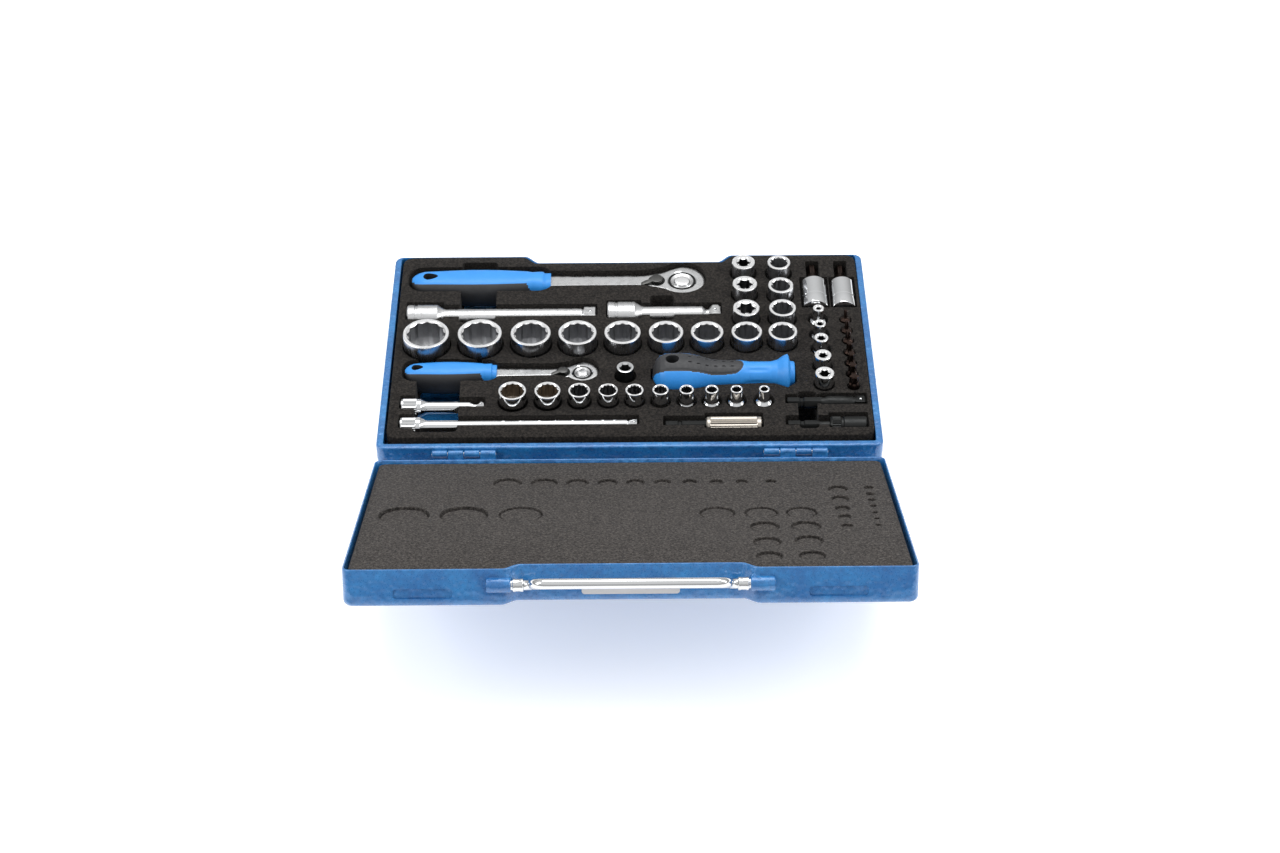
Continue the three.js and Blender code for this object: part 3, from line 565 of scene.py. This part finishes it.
def socket(node, six, size, od, kind, x, y):
    """A socket on its drive end: drive square below, nut opening above."""
    d = DRIVES[kind]
    large = kind == "38"
    length, floor = d["length"], d["length"] - d["mouth"]
    top = od / 2
    foot = max(8.4, 0.42 * od) if large else max(6, 0.4 * od)
    shoulder = floor + (-1.5 if large else 1.5)
    high = shoulder + abs(top - foot) * 0.6
    outline = star(6, 0.5 * size, 0.355 * size) if six else star(12, 0.57 * size, 0.5176 * size)
    wide = (0.5 if six else 0.57) * size
    neck = min(0.38 * size, 0.3 * d["socket"])
    rings = drive_hole(d, 0.8)
    rings += turned([(foot - 0.8, 0), (foot - 0.2, 0.25), (foot, 0.8), (foot, 4.4), (foot - 0.45, 4.8),
                     (foot - 0.45, 6), (foot, 6.4), (foot, shoulder - 2)])
    rings += turned([(foot + (top - foot) * ease(t), shoulder - 2 + (high - shoulder + 2) * t)
                     for t in (i / 6 for i in range(1, 7))])
    wall = len(rings)
    rings += turned([(top, length - 0.75), (top - 0.16, length - 0.25), (top - 0.5, length),
                     (min(wide + 0.35, top - 0.55), length), (wide + 0.05, length - 0.3)])
    rings.append(ring(outline, length - 0.85))
    inner = len(rings)
    rings.append(ring(outline, floor + 0.2))
    rings += turned([(neck + 0.4, floor - 0.5), (neck, floor - 1),
                     (neck, max(d["depth"] + 0.6, floor - 2.2))])
    # bands from the bottom: the drive hole in the dark shadow material as painted shade, the outer wall, the
    # rim and mouth in the lighter steel as painted highlight, the flutes in the shaded bore steel as painted
    # shade, the bore's floor in the lighter steel as painted highlight, and the neck below it in the dark
    # shadow material
    bands = [3] * 2 + [0] * (wall - 2) + [1] * (inner - wall - 1) + [2] + [1] * 2 + [3]
    # the 3/8 in. walls take the darker wall steel, a painted dark reflection; the bores take a shaded bore
    # steel, painted shade, the darkest one in the star bores and the smaller 1/4 in. bores, a warmer one in
    # the larger 1/4 in. bores
    if large:
        walls, bore = SOCKET_STEEL_PAINTED_DARK, HOLE_STEEL_PAINTED_DEEP_SHADE if six else HOLE_STEEL_PAINTED_SHADE
    else:
        walls, bore = CHROME, HOLE_STEEL_PAINTED_SHADE_WARM if not six and size >= 12 else HOLE_STEEL_PAINTED_DEEP_SHADE
    lofted(f"{node}_steel", rings, node, [walls, STEEL_PAINTED_HIGHLIGHT, bore, DARK],
           at(x, y, PROUD - length), [node], bands, sharp=24)
    standing.append((x, y, max(top, foot), PROUD - length, top))


def bar_piece(node, rings, x, y, z, materials, bands=None, name=None, replaced=True):
    return lofted(name or f"{node}_steel", rings, node, materials, at(x, y, z) @ ALONG_X,
                  [node] if replaced else (), bands, sharp=28)


def ball(name, body, material, centre, r):
    profile = [(r * math.sin(a), -r * math.cos(a)) for a in (math.pi * i / 12 for i in range(13))]
    return lofted(name, turned(profile, 24), body, material, at(*centre), sharp=80)


def extension(node, length, kind, hub, hub_length, shaft, x, y, z, steel, wobble):
    """An extension bar lying along +X, its drive hole at x and its square at the far end."""
    d = DRIVES[kind]
    side = d["side"]
    end = length - 0.88 * side
    taper = (hub - shaft) * 1.4
    rings = drive_hole(d, 0.7) + turned([(hub - 0.8, 0), (hub, 0.8)])
    if kind == "14":
        rings += turned([(hub, 1.6)])
        rings += [ring(knurled(hub, 0.35), 1.9), ring(knurled(hub, 0.35), hub_length - 3)]
        rings += turned([(hub, hub_length - 2.7)])
    else:
        rings += turned([(hub, 4.8), (hub - 0.5, 5.2), (hub - 0.5, 6.6), (hub, 7)])
    rings += turned([(hub, hub_length), (hub - 0.5, hub_length + 0.6), (shaft + 0.4, hub_length + taper),
                     (shaft, hub_length + taper + 1.6)])
    if wobble:
        rings += turned([(shaft, end - 4), (shaft * 0.62, end - 1.2), (side * 0.36, end + 0.2)])
        rings += prisms(4, [(side * 0.8, end + 1.4), (side * 0.98, end + 3.2), (side * 0.98, length - 2),
                            (side * 0.8, length)])
    else:
        rings += turned([(shaft, end - 1.4), (shaft - 0.7, end - 0.4)])
        rings += prisms(4, [(side, end + 0.3), (side, length - 0.9), (side - 1.4, length)])
    # the drive hole's walls take the shaded bore steel: painted shade
    bar_piece(node, rings, x, y, z, [steel, HOLE_STEEL_PAINTED_SHADE], [1] * 2 + [0])
    ball(f"{node}_ball", node, CHROME, (x + length - 0.42 * side, y, z + side / 2 - 0.45),
         0.14 * side)
    hub_hole = rounded(x - 0.7, x + hub_length + taper, y - hub - 0.4, y + hub + 0.3, 1.5)
    shaft_hole = rounded(x + 2, x + length + 0.6, y - shaft - 0.6, y + shaft + 0.4, 1.5)
    tray_pockets.extend([(hub_hole, z - hub - 0.4), (shaft_hole, z - shaft - 0.8)])


def bit_tools():
    # long holder: black hexagon shank and a silver fluted sleeve
    x, y, z = 22, -73, 24.5
    shank = prisms(6, [(5.2, 0), (6.35, 0.7), (6.35, 8), (5.4, 8.8), (5.4, 10.2), (6.35, 11),
                       (6.35, 26.5)])
    bar_piece("bit_holder_long", shank, x, y, z, BLACK, name="bit_holder_long_shank",
              replaced=False)
    sleeve = turned([(5.2, 26), (6, 26.8), (6, 28.5)])
    sleeve += [ring(knurled(6, 0.42), 28.9), ring(knurled(6, 0.42), 57.8)]
    sleeve += turned([(6, 58.2), (6, 60.4), (5.4, 61), (4.1, 61)]) + prisms(6, [(6.5, 60.2), (6.5, 52)])
    # the hex bore at the sleeve's tip takes the shaded bore steel: painted shade
    bar_piece("bit_holder_long", sleeve, x, y, z, [FLUTED, HOLE_STEEL_PAINTED_SHADE], [0] * 8 + [1])
    # short holder: black, stepped, knurled sleeve
    x, y, z = 99, -73.4, 24.5
    short = prisms(6, HEX_SHANK + [(6.35, 20)])
    short += turned([(3.2, 20.4), (3.2, 26.6), (5.4, 27), (6, 28)])
    short += [ring(knurled(6, 0.4), 28.4), ring(knurled(6, 0.4), 33.4)]
    short += turned([(5.3, 34), (5.3, 35.2), (6, 35.8), (6, 49.2), (5.3, 50), (4.1, 50)])
    short += prisms(6, [(6.5, 49.2), (6.5, 41)])
    bar_piece("bit_holder_short", short, x, y, z, [BLACK, DARK], [0] * 18 + [1])
    # square adaptor: black, with a bright ball near its tip
    x, y, z = 99.7, -53.2, 26
    square = prisms(6, HEX_SHANK + [(6.35, 21.6)])
    square += turned([(3.4, 22.2), (3.5, 24), (4.4, 26), (4.4, 41), (3.4, 43)])
    square += prisms(4, [(6.3, 43.6), (6.3, 49.2), (5.2, 50)])
    bar_piece("square_adaptor_14", square, x, y, z, BLACK)
    ball("square_adaptor_14_ball", "square_adaptor_14", CHROME, (x + 46.8, y, z + 2.85), 0.95)
    for x, y, z, shank_end, length, wide in ((22, -73, 24.5, 26, 61, 6.9), (99, -73.4, 24.5, 27, 50, 6.9),
                                             (99.7, -53.2, 26, 22, 50, 5.3)):
        tray_pockets.append((rounded(x - 1, x + shank_end + 1, y - 4.4, y + 4.4, 1), z - 4.4))
        tray_pockets.append((rounded(x + shank_end - 1, x + length + 1, y - wide, y + wide, 1.2), z - wide))


def bit_sockets():
    y, z = 39, 25
    for node, r, x, tip in (("bit_socket_large", 9.3, 123.8, 3.3), ("bit_socket_small", 8.6, 142.6, 3.0)):
        place = at(x, y, z) @ ALONG_Y
        rings = drive_hole(DRIVES["38"], 0.8)
        rings += turned([(r - 0.8, 0), (r - 0.2, 0.25), (r, 0.8), (r, 9), (r - 0.4, 9.4), (r - 0.4, 10.4),
                         (r, 10.8), (r, 26.4), (r - 0.6, 27.4), (r - 2.6, 29.4), (r - 3.2, 30), (3.6, 30)])
        # the drive hole takes the shaded bore steel: painted shade
        lofted(f"{node}_steel", rings, node, [CHROME, HOLE_STEEL_PAINTED_SHADE], place, [node], [1] * 2 + [0],
               sharp=28)
        bit = prisms(6, [(2 * tip - 0.2, 28), (2 * tip - 0.2, 37)]) + turned([(tip - 0.5, 38)])
        bit += [ring(star(6, tip - 0.3, tip - 1), 39), ring(star(6, tip - 0.35, tip - 1.05), 46.4),
                ring(star(6, tip - 1, tip - 1.6), 47)]
        lofted(f"{node}_bit", bit, node, BIT, place, sharp=28)
        tray_pockets.append((rounded(x - r - 0.1, x + r + 0.1, 38, 70, 1), z - r - 0.3))
        tray_pockets.append((rounded(x - 4.5, x + 4.5, 69, 87, 1), 20.5))


# x, y, top and tip radius of each screw bit
BIT_ROW = ((142.2, 25, 37.6, 1.3), (142.3, 13.9, 37.6, 1.5), (142.4, 3.6, 37.7, 1.8),
           (142.5, -8.2, 37.8, 2.1), (142.6, -18.9, 37.9, 2.4), (142.7, -29.6, 38, 2.7),
           (142.9, -41.4, 38.4, 3.1))


def loose_bits():
    """Seven screw bits standing in a row; they stay with the tray."""
    for k, (x, y, top, tip) in enumerate(BIT_ROW):
        low = top - 25
        rings = prisms(6, [(5.2, low), (6.3, low + 0.7), (6.3, low + 7), (5.3, low + 7.8),
                           (5.3, low + 9.4), (6.3, low + 10.2), (6.3, low + 17.6)])
        rings += turned([(tip + 0.1, low + 18.8)])
        rings += [ring(star(6, tip, 0.74 * tip), low + 19.6), ring(star(6, tip, 0.74 * tip), top - 0.5),
                  ring(star(6, 0.8 * tip, 0.6 * tip), top)]
        lofted(f"screw_bit_{k + 1}", rings, "tray", BIT, at(x, y, 0), sharp=28)
        tray_pockets.append((circle(4.0, 32), low - 0.3, (x, y)))


def adaptor():
    x, y, z = -2.6, -29.8, 15
    rings = prisms(4, [(6.5, 8), (6.5, 0.6), (7.3, 0)]) + turned([(5.3, 0), (6, 0.7), (6, 2)])
    rings += [ring(knurled(6, 0.35), 2.3), ring(knurled(6, 0.35), 8)]
    rings += turned([(6, 8.4), (6, 9), (5.5, 10), (5.5, 21.4), (5.35, 21.9), (5.1, 22), (4.0, 22)])
    rings += [ring(star(6, 3.7, 3.0), 21.2), ring(star(6, 3.7, 3.0), 13)]
    lofted("adaptor_14_steel", rings, "adaptor_14", [BLACK, CHROME, DARK], at(x, y, z),
           ["adaptor_14"], [2] * 2 + [0] * 10 + [1] * 3 + [2], sharp=28)
    tray_pockets.append((circle(7.0, 40), z - 0.3, (x, y)))


RATCHETS = {
    "38": dict(x=35.8, y=70.8, z=15, thick=12, head=15.6, neck=(-30, 6.2), shank=(-94, 6.8),
               grip=(-182, -88, 11.5), grip_z=(-4.5, 17.5), gear=9, square=9.5, square_length=10.5,
               lever=(-17, 4.2, 12), hole=(-170, 3.4)),
    "14": dict(x=-30.2, y=-22.8, z=17.5, thick=9.5, head=10.6, neck=(-19, 4.2), shank=(-60, 5),
               grip=(-114.5, -55, 9), grip_z=(-4.5, 15), gear=6, square=6.3, square_length=7.5,
               lever=(-12.4, 3.2, 8.6), hole=(-107, 2.6))}
LEVER_REST, BUTTON_SHARE, SHANK_IN = 209.6, 0.56, 14


def ratchet_outline(r, inset=0.0, steps=40):
    """Teardrop head, tapering neck and bar shank, drawn round from the neck's near side."""
    neck_x, neck_half = r["neck"]
    shank_x, shank_half = r["shank"]
    reach = math.acos((r["head"] - neck_half) / -neck_x) + 0.35
    head = r["head"] - inset
    angles = (-reach + 2 * reach * i / steps for i in range(steps + 1))
    points = [(head * math.cos(a), head * math.sin(a)) for a in angles]
    upper = []
    start, goal = points[-1], (neck_x, neck_half - inset)
    for i in range(1, 9):
        t = i / 8
        share = 1 - (1 - t) ** 1.9
        upper.append((start[0] + (goal[0] - start[0]) * t, start[1] + (goal[1] - start[1]) * share))
    upper += [(shank_x + 24, shank_half - 0.5 - inset), (shank_x, shank_half - inset),
              (shank_x - SHANK_IN, shank_half - inset)]
    return points + upper + [(x, -y) for x, y in reversed(upper)]


def grip_size(r, t):
    """Half-width, half-height and middle height of the grip at a share of its length."""
    x0, x1, half = r["grip"]
    z0, z1 = r["grip_z"]
    nose = min(1, math.sqrt(max(0.0, 1 - (1 - min(1, t * (x1 - x0) / half)) ** 2)) + 0.02)
    swell = 0.86 + 0.14 * math.sin(math.pi * min(1, max(0, (t - 0.05) / 0.85))) ** 2
    waist = 1 - 0.1 * math.exp(-((t - 0.87) / 0.03) ** 2)
    collar = 0.84 if t > 0.95 else 1.0
    w = max(half * nose * swell * (1 - 0.12 * max(0, (t - 0.7) / 0.3)) * waist * collar,
            r["shank"][1] + 1.5 if t > 0.9 else 0)
    crown = (0.55 + 0.45 * nose) * (0.92 + 0.08 * math.sin(math.pi * t))
    return w, (z1 - z0) / 2 * crown * (0.9 if t > 0.95 else 1), (z0 + z1) / 2


def grip_rings(r):
    """Cross-sections of the moulded grip from its hanging end to its collar."""
    x0, x1, _ = r["grip"]
    z1 = r["grip_z"][1]
    span, n = x1 - x0, 72
    rings = []
    stations = [0, 0.004, 0.012, 0.03, 0.06, 0.1, 0.16, 0.24, 0.34, 0.44, 0.54, 0.64, 0.74, 0.8]
    stations += [0.82 + 0.01 * k for k in range(13)] + [0.945, 0.955, 0.985, 1.0]
    for t in stations:
        w, hz, mid = grip_size(r, t)
        section = []
        for i in range(n):
            a = 2 * math.pi * i / n
            c, s = math.cos(a), math.sin(a)
            section.append((x0 + t * span, w * math.copysign(abs(c) ** 0.7, c),
                            mid + min(hz * math.copysign(abs(s) ** 0.78, s), z1 - mid)))
        rings.append(section)
    return rings


def ratchet_grip(r, kind, place):
    """The moulded grip in two components, with its hanging hole and the slot for the shank."""
    x0, x1, _ = r["grip"]
    z0, z1 = r["grip_z"]
    hx, hr = r["hole"]
    shank_x, shank_half = r["shank"]
    verts, faces = loft(grip_rings(r))
    grip = piece(f"ratchet_{kind}_grip_moulding", verts, faces, f"ratchet_{kind}",
                 [AZURE, RUBBER], place, 50, [f"ratchet_grip_{kind}"])
    back = place.inverted()
    for polygon in grip.data.polygons:
        c = back @ (polygon.center * 1000)
        t = (c.x - x0) / (x1 - x0)
        _, hz, mid = grip_size(r, max(t, 0.03))
        level = mid + hz * (0.86 - 1.7 * min(1, max(0, (t - 0.83) / 0.1)))
        polygon.material_index = 1 if c.z < level and t < 0.93 else 0
    hole = [(hx + (px * 1.9 if px > 0 else px), py * (1 - 0.25 * max(0, px) / hr))
            for px, py in circle(hr, 32)]
    slot = rounded(shank_x - SHANK_IN - 0.2, x1 + 1, -shank_half - 0.15, shank_half + 0.15, 0.4)
    carve(grip, [cutter(hole, z0 - 1, z1 + 1, place),
                 cutter(slot, -0.15, r["thick"] + 0.15, place)], 50)
    darken(grip, place, lambda c: math.hypot(c.x - hx - hr * 0.4, c.y) < hr * 1.7 and c.z < z1 - 1.2)


def reversing_lever(r, kind, place):
    """A disc with a tapered thumb tab."""
    lx, lr, reach = r["lever"]
    spot = place @ at(lx, 0, 0) @ Matrix.Rotation(math.radians(LEVER_REST), 4, "Z")
    base = r["thick"] + 0.3
    open_angle = math.radians(24)
    angles = (open_angle + (2 * math.pi - 2 * open_angle) * i / 32 for i in range(33))
    outline = [(lr * math.cos(a), lr * math.sin(a)) for a in angles]
    tab = 0.42 * lr
    outline += [(reach * 0.72, -tab), (reach * 0.94, -tab * 0.8), (reach, 0), (reach * 0.94, tab * 0.8),
                (reach * 0.72, tab)]
    lever = [ring(outline, base), ring(outline, base + 1.3)]
    for k, rise in ((0.95, 1.75), (0.85, 1.9)):
        lever.append([(x * k + (0.0 if x < lr else -0.1), y * k, base + rise) for x, y in outline])
    lofted(f"lever_{kind}_tab", lever, f"lever_{kind}", GUNMETAL, spot,
           [f"ratchet_lever_{kind}"], sharp=30)


def ratchet(kind):
    r = RATCHETS[kind]
    ox, oy, oz = r["x"], r["y"], r["z"]
    place = at(ox, oy, oz)
    thick, gear = r["thick"], r["gear"]
    body = f"ratchet_{kind}"
    slim, thin, plain, deep = (ratchet_outline(r, inset) for inset in (0.35, 1.1, 0, 2.3))
    bore = []
    for x, y in plain:
        d = math.hypot(x, y)
        bore.append((x / d * (gear + 0.3), y / d * (gear + 0.3)))
    rim = [(x * (gear + 1.1) / (gear + 0.3), y * (gear + 1.1) / (gear + 0.3)) for x, y in bore]
    rings = [ring(outline, z) for outline, z in (
        (thin, 0), (slim, 0.3), (plain, 1.1), (plain, thick - 1.3), (slim, thick - 0.5),
        (thin, thick - 0.05), (deep, thick), (rim, thick), (bore, thick - 0.5), (bore, 0.4), (rim, 0))]
    lofted(f"{body}_forging", rings, body, [SATIN, CHROME], place,
           [f"ratchet_body_{kind}"], [0] * 7 + [1] * 4, sharp=30, loop=True)
    lx, lr, _ = r["lever"]
    seat = turned([(lr + 1.5, thick - 0.1), (lr + 1.4, thick + 0.12), (lr + 0.5, thick + 0.14),
                   (0.01, thick + 0.16)], 40)
    lofted(f"{body}_lever_seat", seat, body, BLACK, place @ at(lx, 0, 0))
    ratchet_grip(r, kind, place)
    # drive gear with its square and retaining ball
    top = thick - 0.4
    button = gear * BUTTON_SHARE
    well = button + 0.3
    side, drop = r["square"], r["square_length"]
    rings = prisms(4, [(side - 1.2, -drop), (side, -drop + 0.9), (side, -0.5), (side, 0)])
    rings += turned([(gear - 0.5, 0.05), (gear, 0.5), (gear, top - 0.5), (gear - 0.3, top - 0.1),
                     (gear * 0.86, top - 0.1), (gear * 0.82, top + 0.25), (gear * 0.66, top - 0.25),
                     (well, top - 0.5), (well, top - 4.6)])
    lofted(f"drive_{kind}_gear", rings, f"drive_{kind}", [SATIN, BLACK, SATIN, DARK], place,
           [f"ratchet_drive_{kind}"], [0] * 5 + [1] * 3 + [2] * 3 + [3], sharp=30)
    ball(f"drive_{kind}_ball", f"drive_{kind}", CHROME,
         (ox + side / 2 - 0.5, oy, oz - drop * 0.55), 0.15 * side)
    # push button: a domed cap in the lighter steel, a painted highlight
    low, high = top - 3, top + 0.6
    dome = [(button - 0.3, low), (button, low + 0.3), (button, high - 0.9), (button - 0.25, high - 0.4),
            (button * 0.8, high - 0.12), (button * 0.45, high - 0.02), (0.01, high)]
    lofted(f"button_{kind}_cap", turned(dome), f"button_{kind}", STEEL_PAINTED_HIGHLIGHT, place,
           [f"ratchet_button_{kind}"])
    reversing_lever(r, kind, place)
    # tray pockets that follow the ratchet
    x0, x1, half = r["grip"]
    head = [(x * (1 + 0.5 / r["head"]), y * (1 + (0.5 if x > -8 else 1.5) / abs(y) if abs(y) > 4 else 1.1))
            for x, y in plain]
    tray_pockets.append(([(ox + x, oy + y) for x, y in head], oz - 0.3))
    tray_pockets.append((circle(r["head"] + 0.5, 48), oz - 0.3, (ox, oy)))
    tray_pockets.append((circle(gear + 1, 40), oz - drop - 0.3, (ox, oy)))
    tray_pockets.append((rounded(ox + x0 - 1.3, ox + x1 + 1.5, oy - half - 1.6, oy + half + 1.0,
                                half - 1, 10), oz + r["grip_z"][0] - 0.3))


DRIVER_X, DRIVER_Y, DRIVER_Z, DRIVER_L, BULB = 14.8, -28.4, 29, 91, 13.8
HANG_X, HANG_STRETCH, FLUTES_FROM, FLUTES_TO = 12.7, 1.12, 58, 76


def driver_radius(x):
    """The driver handle's radius along its length."""
    knots = ((0, 0.0), (0.4, 0.26), (1.2, 0.5), (2.6, 0.7), (5, 0.88), (8, 0.97), (12, 1.0), (18, 1.0),
             (23, 0.98), (30, 0.88), (38, 0.71), (46, 0.66), (56, 0.655), (62, 0.585), (70, 0.58),
             (76, 0.59), (80, 0.66), (83.6, 0.84), (86.5, 0.93), (87.3, 0.84), (88, 0.6), (90.4, 0.58),
             (91, 0.53))
    for (xa, ra), (xb, rb) in zip(knots, knots[1:]):
        if x <= xb:
            return BULB * (ra + (rb - ra) * (x - xa) / (xb - xa))
    return BULB * knots[-1][1]


def inset_depth(x, y, z):
    """How far inside the dark soft-grip panel a point of the driver's surface is; below zero is outside."""
    if z < 0:
        return -5.0
    half = 8.6 if x < 26 else 8.6 - (x - 26) * 0.075
    dx = max(8 - x, x - 52, 0)
    return half - math.hypot(y, dx)


def driver():
    body = "driver_handle"
    n, count = 144, 200
    rings = []
    for k in range(count + 1):
        x = 0.02 + DRIVER_L * k / count * 0.9998
        r = max(driver_radius(x), 0.05)
        section = []
        for i in range(n):
            a = 2 * math.pi * i / n
            y, z = r * math.cos(a), r * math.sin(a)
            inside = inset_depth(x, y, z)
            step = max(0.0, min(1.0, inside / 0.7 + 0.5))
            drop = -0.3 * step * (1 if 0 < abs(inside) < 0.9 else 0.25)
            if FLUTES_FROM < x < FLUTES_TO:
                along = (x - FLUTES_FROM) / (FLUTES_TO - FLUTES_FROM)
                drop -= 0.5 * max(0, math.cos(6 * a)) ** 2 * math.sin(math.pi * along)
            share = (r + drop) / r
            section.append((x, y * share, z * share))
        rings.append(section)
    verts, faces = loft(rings)
    place = at(DRIVER_X, DRIVER_Y, DRIVER_Z)
    back = place.inverted()
    obj = piece("driver_handle_moulding", verts, faces, body, [AZURE, RUBBER], place, 50,
                ["driver_handle"])
    for polygon in obj.data.polygons:
        polygon.material_index = 1 if inset_depth(*(back @ (polygon.center * 1000))) > 0 else 0
    cuts = [cutter([(HANG_X + px * HANG_STRETCH, py) for px, py in circle(3.9, 40)], -16, 16, place),
            cutter(squared(6.5), DRIVER_L - 12, DRIVER_L + 1, place @ ALONG_X)]
    # two rows of dimples in the soft panel
    for x, y in [(24 + 5.4 * k, s * (2.6 + 0.5 * math.sin(k))) for k in range(6) for s in (-1, 1)]:
        top = math.sqrt(max(1, driver_radius(x) ** 2 - y * y))
        dimple = [(x + 1.25 * px, y + 0.5 * py) for px, py in circle(1, 16)]
        cuts.append(cutter(dimple, top - 0.55, top + 3, place))
    carve(obj, cuts, 50)
    for polygon in obj.data.polygons:
        c = back @ (polygon.center * 1000)
        hole = math.hypot((c.x - HANG_X) / HANG_STRETCH, c.y) < 4.05
        dimple = 22 < c.x < 54 and abs(c.y) < 4 and c.z > 5
        if hole or dimple:
            polygon.material_index = 1
    collar = turned([(4.6, 90.2), (7.2, 90.2), (7.2, 90.7), (6.8, 90.95), (4.8, 90.95)], 48)
    lofted("driver_handle_ferrule", collar, body, SATIN, place @ ALONG_X, loop=True)
    grow = [(DRIVER_X + x, DRIVER_Y + driver_radius(min(max(x, 0.4), 90.9)) + 1.3) for x in
            (-1, 0.5, 2, 4, 8, 14, 22, 30, 38, 48, 58, 70, 78, 82, 86, 92)]
    outline = [(x, 2 * DRIVER_Y - y) for x, y in grow] + list(reversed(grow))
    tray_pockets.append((outline, DRIVER_Z - BULB - 0.3))


# ---------- foam ----------
# finger slots: x from and to, y from and to
FINGERS = ((-112, -88, 25, 88), (14, 30, 26.5, 51.5), (-136, -108, -82, -12),
           (106.4, 118.8, -81, -46.5))


def foam_outline(left, right, near, far, r):
    return block_outline(-left, right, -near, far, r, RECESS_FLAT + 2.2)


def tray_foam():
    rings = [ring(foam_outline(152 - i, 153 - i, 87.6 - i, 94.2 - i, 7 - i), z)
             for i, z in ((0, 1.6), (0, FOAM_TOP - 0.7), (0.25, FOAM_TOP - 0.2), (0.8, FOAM_TOP))]
    block = lofted("tray_foam_block", rings, "tray", TRAY_FOAM, nodes=["base_foam"])
    cuts = []
    for pocket in tray_pockets:
        outline, low = pocket[:2]
        place = at(*pocket[2], 0) if len(pocket) > 2 else REST
        cuts.append(cutter(outline, low, FOAM_TOP + 3, place, 0.25))
    for x, y, r, low, _ in standing:
        cuts.append(cutter(circle(r + 0.7, 44), low - 0.3, FOAM_TOP + 3, at(x, y, 0), 0.3))
    for x0, x1, y0, y1 in FINGERS:
        cuts.append(cutter(rounded(x0, x1, y0, y1, 3), 0, FOAM_TOP + 3, REST, 0.2))
    carve(block, cuts)


def lid_foam():
    inset = 3.1
    w, d = CASE_W / 2 - inset, CASE_D / 2 - inset
    rings = [ring(foam_outline(w - i, w - i, d - i, d - i, 4.5 - i), z)
             for i, z in ((0.9, LID_FACE), (0.3, LID_FACE + 0.25), (0, LID_FACE + 0.9), (0, LID_BACK - 3.2),
                          (1.2, LID_BACK - 1.2), (2.4, LID_BACK - 0.1))]
    pad = lofted("lid_foam_pad", rings, "lid", LID_FOAM, OPEN, ["lid_foam"])
    cuts = []
    for x, y, _, _, top in standing:
        depth, crease = (1.5, 1.4) if top > 13.8 else (0.7, 1.3) if top > 9 else (1.2, 0.7)
        if 38 < math.hypot(x, y - 2.5) or abs(y) > 10:
            cuts.append(dent(x, y, top - 0.1, depth, crease))
    for x, y, _, tip in BIT_ROW:
        cuts.append(dent(x, y, max(tip, 1.7), 1.6, 0.2))
    carve(pad, cuts)
    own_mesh(pad)


# ---------- the set ----------
tray_shell()
lid_shell()
for hinge_side, side_name in SIDES:
    hinge(hinge_side, side_name)
handle()


def size_name(size):
    return str(size).replace(".", "_")


for size, od, x in ROW38:
    socket(f"socket_{size_name(size)}mm_38", False, size, od, "38", x, 2.5)
for size, od, y in COLUMN38:
    socket(f"socket_{size_name(size)}mm_38", False, size, od, "38", 100.7, y)
for size, od, x in ROW14:
    socket(f"socket_{size_name(size)}mm_14", False, size, od, "14", x, -54.2)
for number, tips, od, y in STAR38:
    socket(f"star_socket_e{number}_38", True, tips, od, "38", 77, y)
for number, tips, od, y in STAR14:
    socket(f"star_socket_e{number}_14", True, tips, od, "14", 124.2, y)
extension("extension_125_38", 125, "38", 8.5, 20, 5.6, -146.5, 37.4, 23.5, SATIN, False)
extension("extension_75_38", 75, "38", 8.8, 18, 5.6, -14.2, 37.9, 24.2, SATIN, True)
extension("extension_55_14", 53, "14", 6, 13, 3.9, -145, -53.7, 24.5, CHROME, True)
extension("extension_150_14", 150, "14", 6, 13, 3.9, -144.6, -71.6, 24.5, CHROME, False)
bit_tools()
bit_sockets()
loose_bits()
adaptor()
for kind in ("38", "14"):
    ratchet(kind)
driver()
tray_foam()
lid_foam()

# ---------- stage ----------
floor_mesh = bpy.data.meshes.new("floor")
floor_mesh.from_pydata([(-6, -4, 0), (6, -4, 0), (6, 6, 0), (-6, 6, 0)], [], [(0, 1, 2, 3)])
floor = new_object("floor", floor_mesh)
floor.location.z = -0.0004
surface = Finish("pale_floor", (0.9, 0.9, 0.905), 0.32, 0.0, Specular_IOR_Level=0.3)
surface.shader.inputs["Emission Color"].default_value = (1, 1, 1, 1)
surface.shader.inputs["Emission Strength"].default_value = 0.4
surface.rough_from(surface.noise(3), 0.3, 0.7, 0.3, 0.36)
floor_mesh.materials.append(surface.mat)

world = bpy.data.worlds.new("studio")
bpy.context.scene.world = world
world.use_nodes = True
sky = world.node_tree
where = sky.nodes.new("ShaderNodeTexCoord")
split = sky.nodes.new("ShaderNodeSeparateXYZ")
shade = sky.nodes.new("ShaderNodeMapRange")
for key, value in (("From Min", 0.02), ("From Max", 0.75), ("To Min", 0.4), ("To Max", 1.0)):
    shade.inputs[key].default_value = value
sky.links.new(where.outputs["Generated"], split.inputs[0])
sky.links.new(split.outputs["Z"], shade.inputs["Value"])
sky.links.new(shade.outputs["Result"], sky.nodes["Background"].inputs["Color"])
sky.nodes["Background"].inputs["Strength"].default_value = 0.9


def softbox(name, location, target, size, power):
    light = bpy.data.lights.new(name, "AREA")
    light.shape, light.size, light.size_y, light.energy = "RECTANGLE", size[0], size[1], power
    obj = new_object(name, light)
    obj.location = location
    obj.rotation_euler = (Vector(target) - Vector(location)).to_track_quat("-Z", "Y").to_euler()


softbox("overhead", (0.1, 0.25, 1.3), (0, 0, 0), (1.3, 0.8), 11)
softbox("left", (-1.2, -0.5, 0.9), (0, 0, 0), (0.6, 0.9), 7)
softbox("right", (1.2, -0.2, 0.8), (0, 0, 0), (0.4, 0.9), 5)
